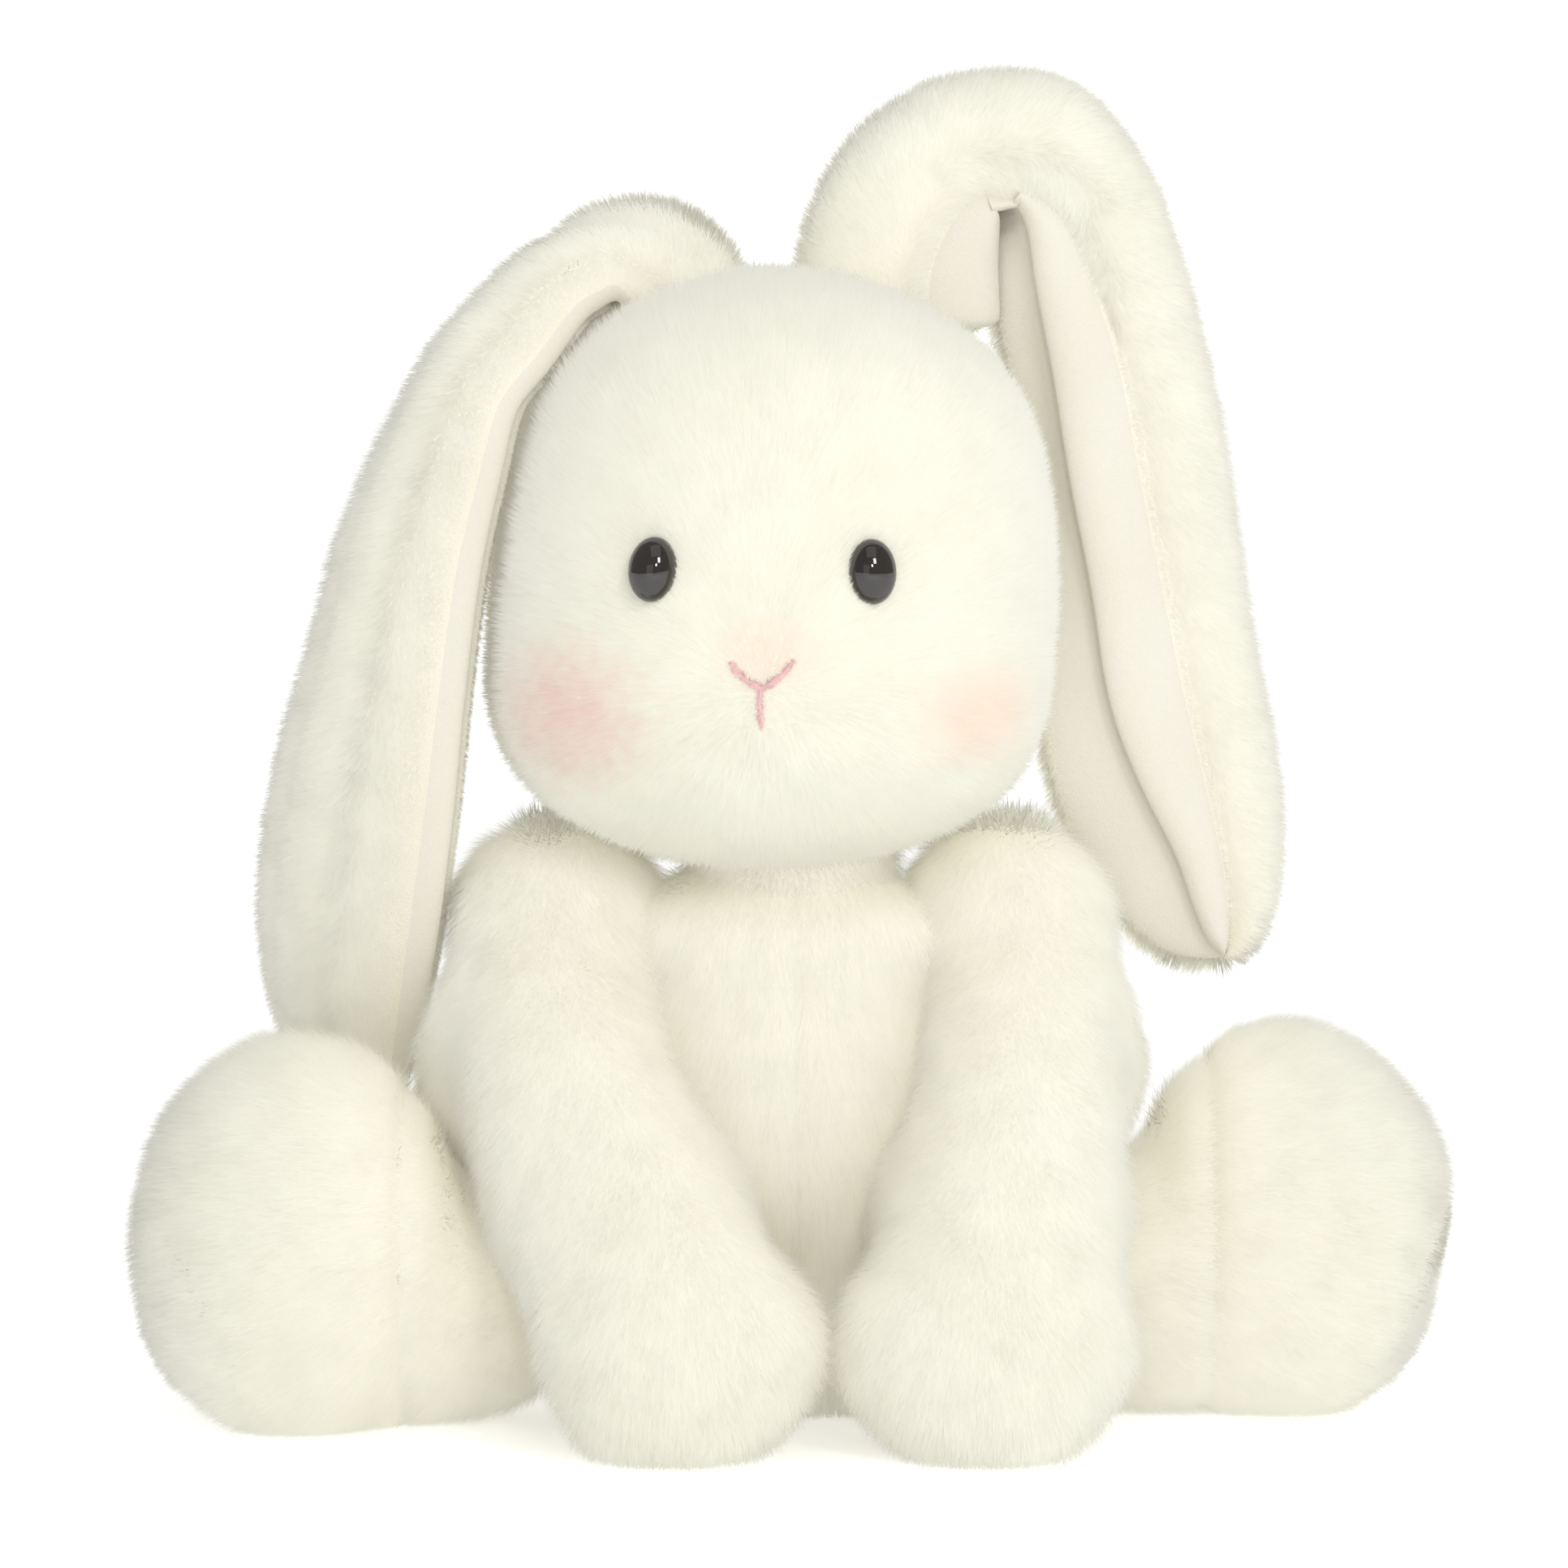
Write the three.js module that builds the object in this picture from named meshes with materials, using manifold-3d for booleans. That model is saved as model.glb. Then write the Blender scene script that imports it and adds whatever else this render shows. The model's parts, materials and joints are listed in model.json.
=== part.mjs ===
// A stuffed lop-eared rabbit that sits on a shelf, in millimetres.
// +Z is up, the rabbit looks along -Y, and +X is its own left side.
// The origin is on the floor under the middle of the seat.
import * as THREE from 'three';
import { mergeVertices } from 'three/addons/utils/BufferGeometryUtils.js';
import Module from 'manifold-3d';

const wasm = await Module();
wasm.setup();

// ---- Driving dimensions -------------------------------------------------------------------

const CLOTH = 2.5;          // plush cloth with its knitted backing
const FILL_GAP = 0.4;       // between a cover and what fills it
const PIECE_GAP = 0.3;      // between two pieces that are sewn or snapped together
const PANEL_GAP = 0.8;      // between the lining and the back of an ear
const LIMB_GAP = 2.4;       // between the cloth of a limb and the cloth of the body

const TORSO = { width: 92, depth: 80, height: 124, centreY: 12, hemRound: 24, neckRound: 15, seatPress: 8.4 };
const HEAD = { width: 126, depth: 114, height: 130, centreX: -3, turn: -3, chinRound: 30, crownRound: 36 };
const NECK = { gap: 7.5, plugRadius: 15, plugBevel: 3, plugReach: 12, fit: 1.5, slack: 4 };
const ARM = { thickness: 38, shoulderWidth: 38, shoulderRound: 20, pawWidth: 57, pawRound: 18, pawPress: 4 };
const LEG = { height: 61, depth: 52, length: 72, hipRound: 19, ankleRound: 16, bow: 4 };
const FOOT = { width: 60, height: 87, bulge: 62, solePlate: 2.5, soleTilt: 22, soleReach: 25, heelReach: 20 };
const TAIL = { radius: 15, z: 31, nestle: 1.2 };
const MOUTH = { arm: 9, leg: 11, tail: 7 };      // radii of the open seams that each part is filled through
const EYE = { width: 11.5, height: 15, bulge: 5.5, lift: 0.6, shankRadius: 2.2, shank: 11.5 };
const WASHER = { radius: 6.5, thickness: 1.6, slack: 1.6 };    // slack is the room under the cloth
const THREAD = { radius: 1.1, lift: 0.5 };
const SEAT_PELLETS = 22;    // depth of the pellets in the seat
const FOOT_PELLETS = 16;    // depth of the pellets in each heel

// ---- Solid helpers ------------------------------------------------------------------------

const vec = (x, y, z) => new THREE.Vector3(x, y, z);

function solidOf(geometry) {
  const bare = geometry.clone();
  bare.deleteAttribute('normal');
  bare.deleteAttribute('uv');
  const merged = mergeVertices(bare, 1e-4);
  return new wasm.Manifold(new wasm.Mesh({
    numProp: 3,
    vertProperties: new Float32Array(merged.attributes.position.array),
    triVerts: new Uint32Array(merged.index.array),
  }));
}

function geometryOf(solid) {
  const mesh = solid.getMesh();
  const geometry = new THREE.BufferGeometry();
  geometry.setAttribute('position', new THREE.BufferAttribute(new Float32Array(mesh.vertProperties), 3));
  geometry.setIndex(new THREE.BufferAttribute(new Uint32Array(mesh.triVerts), 1));
  geometry.computeVertexNormals();
  return geometry;
}

function rod(radius, from, to, sides = 20) {
  const along = to.clone().sub(from);
  const geometry = new THREE.CylinderGeometry(radius, radius, along.length(), sides);
  const turn = new THREE.Quaternion().setFromUnitVectors(vec(0, 1, 0), along.clone().normalize());
  geometry.applyQuaternion(turn);
  const middle = from.clone().add(to).multiplyScalar(0.5);
  geometry.translate(middle.x, middle.y, middle.z);
  return solidOf(geometry);
}

const HALF_SPACE = 600;
const THROUGH = 40;         // how far a cutting rod reaches past what it cuts

// Everything on the side of a plane that its normal points to.
function beyond(point, normal) {
  const box = new THREE.BoxGeometry(HALF_SPACE, HALF_SPACE, HALF_SPACE);
  box.translate(0, 0, HALF_SPACE / 2);
  box.applyQuaternion(new THREE.Quaternion().setFromUnitVectors(vec(0, 0, 1), normal));
  box.translate(point.x, point.y, point.z);
  return solidOf(box);
}

const above = (z) => beyond(vec(0, 0, z), vec(0, 0, 1));
const below = (z) => beyond(vec(0, 0, z), vec(0, 0, -1));

// How full a rounded end is, from 0 at its tip to 1 where it meets the straight part.
function roundedEnd(distance, round) {
  if (distance >= round) return 1;
  return Math.sqrt(Math.max(0, 1 - (1 - distance / round) ** 2));
}

const BACKWARDS = vec(0, 1, 0);
const squared = (c, power) => Math.sign(c) * Math.abs(c) ** (2 / power);

// A padded form: a sphere drawn out along a spine. halfWidth and halfDepth are its half sizes at
// the spine's points, and ends are how far its two ends take to round off. facing is the
// way its depth lies. inset makes the same form smaller all round. halves keeps one side of its
// middle surface, +1 or -1, with a flat inner face.
function paddedForm({ spine, halfWidth, halfDepth, ends, facing = BACKWARDS, inset = 0, power = 2.2,
  sides = 18, rings = 12, halves = 0 }) {
  const path = new THREE.CatmullRomCurve3(spine.map((p) => vec(...p)));
  const girth = new THREE.CatmullRomCurve3(halfWidth.map((w, i) => vec(w, halfDepth[i], 0)));
  const length = path.getLength();
  const form = new THREE.SphereGeometry(1, sides, rings);
  const place = form.attributes.position;
  for (let i = 0; i < place.count; i += 1) {
    const ring = Math.hypot(place.getX(i), place.getZ(i));
    const share = (1 - place.getY(i)) / 2;
    const along = inset + share * (length - 2 * inset);
    const stage = path.getUtoTmapping(along / length);
    const tangent = path.getTangent(stage);
    const wide = facing.clone().cross(tangent).normalize();
    const deep = tangent.clone().cross(wide);
    const size = girth.getPoint(stage);
    const full = roundedEnd(along - inset, ends[0] - inset)
      * roundedEnd(length - inset - along, ends[1] - inset);
    const point = path.getPoint(stage);
    if (ring > 1e-6) {
      const sideways = (size.x - inset) * full * squared(place.getX(i) / ring, power);
      let thick = (size.y - inset) * full * squared(place.getZ(i) / ring, power);
      if (halves) thick = halves * (PANEL_GAP / 2 + Math.max(0, halves * thick));
      point.addScaledVector(wide, sideways).addScaledVector(deep, thick);
    } else if (halves) {
      point.addScaledVector(deep, halves * PANEL_GAP / 2);
    }
    place.setXYZ(i, point.x, point.y, point.z);
  }
  return solidOf(form);
}

const COVER = 0;
const LINING_WALL = CLOTH;
const FILLING = CLOTH + FILL_GAP;

// ---- Scene helpers ------------------------------------------------------------------------

const plush = () => new THREE.MeshStandardMaterial({ color: 0xf6f4e6, roughness: 0.95, metalness: 0 });
const velour = () => new THREE.MeshStandardMaterial({ color: 0xf7f3e4, roughness: 0.85, metalness: 0 });
const fibre = () => new THREE.MeshStandardMaterial({ color: 0xffffff, roughness: 1, metalness: 0 });
const pouchCloth = () => new THREE.MeshStandardMaterial({ color: 0xe9e6dc, roughness: 0.9, metalness: 0 });
const blackPlastic = () => new THREE.MeshStandardMaterial({ color: 0x17120f, roughness: 0.12, metalness: 0 });
const whitePlastic = () => new THREE.MeshStandardMaterial({ color: 0xdedede, roughness: 0.5, metalness: 0 });
const pinkThread = () => new THREE.MeshStandardMaterial({ color: 0xe58f9b, roughness: 0.6, metalness: 0 });

const group = new THREE.Group();

function groupAt(parent, x, y, z) {
  const made = new THREE.Group();
  made.position.set(x, y, z);
  parent.add(made);
  return made;
}

function addMesh(parent, name, solid, material) {
  const mesh = new THREE.Mesh(geometryOf(solid), material);
  mesh.name = name;
  parent.add(mesh);
  return mesh;
}

// ---- Torso --------------------------------------------------------------------------------

const TORSO_WIDTHS = [0.86, 1.0, 0.93, 0.73, 0.56];
const TORSO_DEPTHS = [0.84, 1.0, 0.96, 0.80, 0.60];
const TORSO_LEANS = [3, 0, -1, -5, -11];       // how far the middle stands forward, by height

const profileAt = (values, share) => {
  const curve = new THREE.CatmullRomCurve3(values.map((v) => vec(v, 0, 0)));
  return curve.getPoint(THREE.MathUtils.clamp(share, 0, 1)).x;
};

const torsoSideAt = (z) => profileAt(TORSO_WIDTHS, z / TORSO.height) * TORSO.width / 2;
const torsoMiddleAt = (z) => TORSO.centreY + profileAt(TORSO_LEANS, z / TORSO.height);
const torsoFrontAt = (z) => torsoMiddleAt(z) - profileAt(TORSO_DEPTHS, z / TORSO.height) * TORSO.depth / 2;

function torsoForm(inset) {
  const levels = TORSO_WIDTHS.length - 1;
  const spine = TORSO_LEANS.map((lean, i) => [0, TORSO.centreY + lean, TORSO.height * i / levels]);
  const bottom = spine[0];
  bottom[2] = -TORSO.seatPress;                // the seat's bulge is pressed flat by the floor
  return paddedForm({
    spine,
    halfWidth: TORSO_WIDTHS.map((w) => w * TORSO.width / 2),
    halfDepth: TORSO_DEPTHS.map((d) => d * TORSO.depth / 2),
    ends: [TORSO.hemRound, TORSO.neckRound],
    inset,
    sides: 22,
    rings: 14,
  }).intersect(above(inset));
}

const neckY = torsoMiddleAt(TORSO.height);
const neckHoleRadius = NECK.plugRadius + NECK.fit;
const neckTop = vec(0, neckY, TORSO.height + THROUGH);
const neckHole = rod(neckHoleRadius, vec(0, neckY, TORSO.height - THROUGH), neckTop);
const torsoCover = torsoForm(COVER).subtract(torsoForm(LINING_WALL)).subtract(neckHole);
const plugBottom = TORSO.height - NECK.plugReach;
const torsoFill = torsoForm(FILLING);
const plugPocket = rod(neckHoleRadius, vec(0, neckY, plugBottom - NECK.fit), neckTop);

addMesh(group, 'torso_cover', torsoCover, plush());
addMesh(group, 'torso_stuffing',
  torsoFill.intersect(above(SEAT_PELLETS + FILL_GAP)).subtract(plugPocket), fibre());
addMesh(group, 'seat_pellet_pouch', torsoFill.intersect(below(SEAT_PELLETS)), pouchCloth());

// ---- Tail ---------------------------------------------------------------------------------

const torsoBackAt = (z) => 2 * torsoMiddleAt(z) - torsoFrontAt(z);
const tailGroup = groupAt(group, 0, torsoBackAt(TAIL.z) + TAIL.radius - TAIL.nestle, TAIL.z);

const tailBall = (inset) => solidOf(new THREE.SphereGeometry(TAIL.radius - inset, 14, 9));
const tailMouth = rod(MOUTH.tail, vec(0, -THROUGH, 0), vec(0, 0, 0));
const tailSkin = tailBall(COVER).subtract(tailBall(LINING_WALL)).subtract(tailMouth);
addMesh(tailGroup, 'tail_cover', tailSkin, plush());
addMesh(tailGroup, 'tail_stuffing', tailBall(FILLING), fibre());

// ---- Neck ---------------------------------------------------------------------------------

const neckZ = TORSO.height + NECK.gap / 2;
const neckGroup = groupAt(group, 0, neckY, neckZ);
const plugHalf = NECK.gap / 2 + NECK.plugReach;
const plugProfile = [
  new THREE.Vector2(0, -plugHalf),
  new THREE.Vector2(NECK.plugRadius - NECK.plugBevel, -plugHalf),
  new THREE.Vector2(NECK.plugRadius, NECK.plugBevel - plugHalf),
  new THREE.Vector2(NECK.plugRadius, plugHalf - NECK.plugBevel),
  new THREE.Vector2(NECK.plugRadius - NECK.plugBevel, plugHalf),
  new THREE.Vector2(0, plugHalf),
];
const neckPlug = new THREE.LatheGeometry(plugProfile, 20);
neckPlug.rotateX(Math.PI / 2);
addMesh(neckGroup, 'neck_stuffing', solidOf(neckPlug), fibre());

// ---- Head ---------------------------------------------------------------------------------

const headGroup = groupAt(neckGroup, 0, 0, 0);
headGroup.rotation.z = THREE.MathUtils.degToRad(HEAD.turn);

const HEAD_WIDTHS = [0.90, 1.0, 1.0, 0.91, 0.80];
const HEAD_DEPTHS = [0.86, 0.99, 1.0, 0.94, 0.80];
const HEAD_SIDEWAYS = [-2, -2, 0, 1, 2];        // the cheeks sag a little to the right
const HEAD_FORWARD = [-12, -12, -10, -7, -4];   // the face leans out over the chest
const headBase = NECK.gap / 2;

function headForm(inset) {
  const levels = HEAD_WIDTHS.length - 1;
  return paddedForm({
    spine: HEAD_FORWARD.map((y, i) => [HEAD.centreX + HEAD_SIDEWAYS[i], y, headBase + HEAD.height * i / levels]),
    halfWidth: HEAD_WIDTHS.map((w) => w * HEAD.width / 2),
    halfDepth: HEAD_DEPTHS.map((d) => d * HEAD.depth / 2),
    ends: [HEAD.chinRound, HEAD.crownRound],
    inset,
    power: 2.1,
    sides: 26,
    rings: 16,
  });
}

const headOutside = headForm(COVER);
const headSkin = new THREE.Mesh(geometryOf(headOutside), plush());

// Where a line parallel to an axis meets the head's cloth, and the cloth's outward direction there.
function onHead(from, towards) {
  const hit = new THREE.Raycaster(from, towards).intersectObject(headSkin)[0];
  return { point: hit.point, normal: hit.face.normal.clone() };
}

const onFace = (x, z) => onHead(vec(HEAD.centreX + x, -HEAD.depth * 2, headBase + z), vec(0, 1, 0));

// Eyes: a glossy oval dome with a shank that goes through the cloth to a washer inside.
const EYE_SPREAD = 0.1944;          // half the distance between the eyes, by the head's width
const EYE_HEIGHT = 0.504;           // by the head's height
const neckOpening = NECK.plugRadius + NECK.slack;
const neckBore = rod(neckOpening, vec(0, 0, -THROUGH), vec(0, 0, plugHalf));

let headCover = headOutside.subtract(headForm(LINING_WALL)).subtract(neckBore);
const plugRoom = rod(neckOpening, vec(0, 0, -THROUGH), vec(0, 0, plugHalf + NECK.slack));
let headFill = headForm(FILLING).subtract(plugRoom);

for (const [name, side] of [['left', 1], ['right', -1]]) {
  const seat = onFace(side * EYE_SPREAD * HEAD.width, EYE_HEIGHT * HEAD.height);
  const eyeGroup = groupAt(headGroup, ...seat.point.toArray());
  const turn = new THREE.Quaternion().setFromUnitVectors(vec(0, 0, 1), seat.normal);
  eyeGroup.quaternion.copy(turn);

  const dome = new THREE.SphereGeometry(1, 18, 12);
  dome.scale(EYE.width / 2, EYE.bulge, EYE.height / 2);
  dome.rotateX(Math.PI / 2);
  const raised = solidOf(dome).intersect(above(0)).translate([0, 0, EYE.lift]);
  const shank = rod(EYE.shankRadius, vec(0, 0, -EYE.shank), vec(0, 0, EYE.lift + 1), 16);
  addMesh(eyeGroup, `eye_${name}`, raised.add(shank), blackPlastic());

  const washerTop = -CLOTH - WASHER.slack;
  const washerBottom = washerTop - WASHER.thickness;
  const washer = rod(WASHER.radius, vec(0, 0, washerBottom), vec(0, 0, washerTop), 20)
    .subtract(rod(EYE.shankRadius + PIECE_GAP, vec(0, 0, -THROUGH), vec(0, 0, 0), 16));
  addMesh(eyeGroup, `eye_washer_${name}`, washer, whitePlastic());

  eyeGroup.updateMatrix();
  const placed = (solid) => solid.transform(eyeGroup.matrix.toArray());
  const front = vec(0, 0, EYE.bulge);
  const shankHole = rod(EYE.shankRadius + PIECE_GAP, vec(0, 0, -EYE.shank - FILL_GAP), front, 16);
  const washerRoom = rod(WASHER.radius + FILL_GAP, vec(0, 0, washerBottom - FILL_GAP), front, 20);
  headCover = headCover.subtract(placed(shankHole));
  headFill = headFill.subtract(placed(washerRoom)).subtract(placed(shankHole));
}

addMesh(headGroup, 'head_cover', headCover, plush());
addMesh(headGroup, 'head_stuffing', headFill, fibre());

// Nose and mouth: a Y of satin stitches that lies on the cloth.
const NOSE = { spread: 7.2, top: 46.5, bottom: 40.5, sag: 2, mouth: 31 };     // heights over the chin
const stitchSection = new THREE.Shape().absarc(0, 0, THREAD.radius, 0, 2 * Math.PI);

function stitchRow(places) {
  const points = places.map(([x, z]) => {
    const seat = onFace(x, z);
    return seat.point.addScaledVector(seat.normal, THREAD.radius + THREAD.lift);
  });
  return solidOf(new THREE.ExtrudeGeometry(stitchSection, {
    steps: 6,
    curveSegments: 3,
    extrudePath: new THREE.CatmullRomCurve3(points),
  }));
}

const noseArm = (side) => stitchRow([
  [side * NOSE.spread, NOSE.top],
  [side * NOSE.spread / 2, NOSE.bottom + NOSE.sag],
  [0, NOSE.bottom],
]);
const mouthStem = stitchRow([[0, NOSE.bottom + 0.8], [0, (NOSE.bottom + NOSE.mouth) / 2], [0, NOSE.mouth]]);
addMesh(headGroup, 'nose_and_mouth_stitching', noseArm(1).add(noseArm(-1)).add(mouthStem), pinkThread());

// ---- Ears ---------------------------------------------------------------------------------

// Points are [outwards from the head's side, depth, height over the crown].
const EARS = {
  left: {
    base: [[-40, 4, -5], [-37, 4, 10], [-31, 5, 23], [-20, 6, 29]],
    baseWidths: [19, 15.5, 11.5, 10.5],
    baseDepths: [7, 8, 8.5, 8.5],
    lop: [[-5, 7, 28], [5, 7, 14], [11, 8, -12], [16, 8, -49], [21, 9, -86], [24, 10, -124], [37, 10, -157]],
    lopWidths: [10.5, 10.5, 11.5, 17, 19, 21, 22.5, 15],
    lopDepths: [8.5, 8, 7.5, 7, 6.5, 6.5, 6.5, 6],
    yaw: 14,
  },
  right: {
    base: [[-39, 1, 2], [-33, 0, 4.5], [-27, -2, 5.5], [-21, -4, 4.5]],
    baseWidths: [8, 8.5, 8.5, 8.5],
    baseDepths: [8, 8, 8, 8],
    lop: [[-10, -7, 0], [-1, -11, -10], [9, -16, -29], [19.5, -19, -55], [26.5, -17, -85], [32, -12, -112],
      [36.5, 0, -150], [40, 13, -190]],
    lopWidths: [8.5, 8.5, 8.5, 9, 11.5, 16.5, 20, 19, 12],
    lopDepths: [8, 8, 8, 7.5, 7, 6.5, 6.5, 6, 5.5],
    yaw: -24,
  },
};
const EAR_END = 9;          // how far an ear's fold takes to round off
const EAR_ROOT = 6;
const EAR_TIP = 17;
const EAR_FOLD_GAP = 1.6;   // between the upright base and the hanging lop

const crownZ = headBase + HEAD.height;
const headSide = HEAD.width / 2;

for (const [name, side] of [['left', 1], ['right', -1]]) {
  const ear = EARS[name];
  // The base stands on the crown, and the lop hangs beside the cheek.
  const placed = ([out, y, up]) => vec(side * (headSide + out), y, crownZ + up);
  const basePoints = ear.base.map(placed);
  const baseEnd = new THREE.CatmullRomCurve3(basePoints).getTangentAt(1);
  const lopStart = basePoints.at(-1).clone().addScaledVector(baseEnd, EAR_FOLD_GAP);
  const lopPoints = [lopStart, ...ear.lop.map(placed)];
  const fold = new THREE.CatmullRomCurve3(lopPoints);
  const foldPoint = fold.getPointAt(EAR_END / fold.getLength());
  const yaw = THREE.MathUtils.degToRad(ear.yaw);
  const facing = vec(-Math.sin(yaw), Math.cos(yaw), 0);

  const earGroup = groupAt(neckGroup, ...foldPoint.toArray());
  for (const [panel, half] of [['lining', -side], ['back', side]]) {
    const skin = panel === 'lining' ? velour : plush;
    const basePanel = paddedForm({
      spine: basePoints.map((p) => p.toArray()),
      halfWidth: ear.baseWidths,
      halfDepth: ear.baseDepths,
      ends: [EAR_ROOT, EAR_END],
      facing,
      halves: half,
      sides: 12,
      rings: 9,
    });
    addMesh(neckGroup, `ear_base_${panel}_${name}`, basePanel, skin());
    const lopPanel = paddedForm({
      spine: lopPoints.map((p) => p.clone().sub(foldPoint).toArray()),
      halfWidth: ear.lopWidths,
      halfDepth: ear.lopDepths,
      ends: [EAR_END, EAR_TIP],
      facing,
      halves: half,
      sides: 12,
      rings: 18,
    });
    addMesh(earGroup, `ear_lop_${panel}_${name}`, lopPanel, skin());
  }
}

// ---- Arms ---------------------------------------------------------------------------------

// The arms hang from the shoulders, lie over the belly and stand on the floor between the legs.
const SHOULDER = { drop: 14, forward: 14 };      // below the top of the torso, and before its middle
const BELLY_Z = 45;
const ELBOW = 3 / 11;        // how far down the arm its bends are, by the shoulder's height
const WRIST = 29 / 55;
const PAWS = {
  left: { x: 44, widths: [0.62, 0.68, 0.78, 0.92, 1, 0.9] },
  right: { x: 27, widths: [0.62, 0.70, 0.88, 0.99, 1, 0.9] },
};
const shoulderZ = TORSO.height - SHOULDER.drop;

for (const [name, side] of [['left', 1], ['right', -1]]) {
  const half = ARM.thickness / 2;
  const shoulderX = torsoSideAt(shoulderZ) + LIMB_GAP + ARM.shoulderWidth / 2;
  const shoulderY = torsoMiddleAt(shoulderZ) - SHOULDER.forward;
  const armGroup = groupAt(group, side * shoulderX, shoulderY, shoulderZ);
  const floor = -shoulderZ;
  const bellyY = torsoFrontAt(BELLY_Z) - shoulderY;
  const inwards = PAWS[name].x - shoulderX;
  const spine = [
    [side * -5, 5, 24],
    [0, 0, 2],
    [side * 0.5, bellyY - half + 8, floor * ELBOW],
    [side * 0.55 * inwards, bellyY - half - 7, floor * WRIST],
    [side * inwards, bellyY - half - 21, floor + 27],
    [side * inwards, bellyY - half - 28, floor - ARM.pawPress],
  ];
  const armForm = (inset) => paddedForm({
    spine,
    halfWidth: PAWS[name].widths.map((share) => share * ARM.pawWidth / 2),
    halfDepth: [half - 2, half - 1, half, half + 2, half + 4, half + 2],
    ends: [ARM.shoulderRound, ARM.pawRound],
    inset,
  }).intersect(above(floor + inset));
  const mouth = rod(MOUTH.arm, vec(-side * THROUGH, 0, 0), vec(0, 0, 0));
  const skin = armForm(COVER).subtract(armForm(LINING_WALL)).subtract(mouth);
  addMesh(armGroup, `arm_cover_${name}`, skin, plush());
  addMesh(armGroup, `arm_stuffing_${name}`, armForm(FILLING), fibre());
}

// ---- Legs ---------------------------------------------------------------------------------

// How far each leg points forward of sideways, in degrees, and where its hip seam is.
const SPLAY = { left: { yaw: 0, hipY: 1 }, right: { yaw: 20, hipY: -2 } };

for (const [name, side] of [['left', 1], ['right', -1]]) {
  const hipZ = LEG.height / 2;
  const hipX = torsoSideAt(hipZ) + LIMB_GAP;
  const legGroup = groupAt(group, side * hipX, SPLAY[name].hipY, hipZ);
  legGroup.rotation.z = THREE.MathUtils.degToRad(-side * SPLAY[name].yaw);
  const floor = -hipZ;
  const footZ = floor + FOOT.height / 2;

  const tube = (inset) => paddedForm({
    spine: [0, 1, 2, 3].map((step) => [side * step * LEG.length / 3, -step * LEG.bow / 3, 0]),
    halfWidth: Array(4).fill(LEG.depth / 2),
    halfDepth: [0.87, 1, 1.03, 1].map((share) => share * LEG.height / 2),
    ends: [LEG.hipRound, LEG.ankleRound],
    facing: vec(0, 0, 1),
    inset,
    sides: 16,
    rings: 9,
  });
  const bulb = (inset) => {
    const egg = new THREE.SphereGeometry(1, 18, 12);
    egg.scale(FOOT.bulge / 2 - inset, FOOT.width / 2 - inset, FOOT.height / 2 - inset);
    egg.translate(side * LEG.length, -LEG.bow, footZ);
    return solidOf(egg);
  };
  const footForm = (inset) => tube(inset).add(bulb(inset)).intersect(above(floor + inset));

  const tilt = THREE.MathUtils.degToRad(FOOT.soleTilt);
  const outward = vec(side * Math.cos(tilt), 0, -Math.sin(tilt));
  const solePoint = vec(side * (LEG.length + FOOT.soleReach), 0, footZ);
  const inner = (gap) => beyond(solePoint.clone().addScaledVector(outward, -gap), outward.clone().negate());
  const plate = beyond(solePoint.clone().addScaledVector(outward, PIECE_GAP), outward)
    .intersect(inner(-PIECE_GAP - FOOT.solePlate));
  const mouth = rod(MOUTH.leg, vec(-side * 10, 0, 0), vec(side * 10, 0, 0));

  const cover = footForm(COVER).subtract(footForm(LINING_WALL)).subtract(mouth).intersect(inner(0));
  const fill = footForm(FILLING).intersect(inner(FILL_GAP));
  addMesh(legGroup, `leg_cover_${name}`, cover, plush());
  addMesh(legGroup, `sole_${name}`, footForm(COVER).intersect(plate), plush());

  // The pellets lie in the heel, past the ankle.
  const heelX = LEG.length - FOOT.heelReach;
  const heel = beyond(vec(side * heelX, 0, 0), vec(side, 0, 0));
  const heelRoom = beyond(vec(side * (heelX - FILL_GAP), 0, 0), vec(side, 0, 0));
  addMesh(legGroup, `leg_stuffing_${name}`,
    fill.subtract(heelRoom.intersect(below(floor + FOOT_PELLETS + FILL_GAP))), fibre());
  addMesh(legGroup, `foot_pellet_pouch_${name}`,
    fill.intersect(heel).intersect(below(floor + FOOT_PELLETS)), pouchCloth());
}

export default group;
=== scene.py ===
import json
import math

import bmesh
import bpy
import numpy as np
from mathutils import Matrix, Vector
from mathutils.bvhtree import BVHTree


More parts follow.
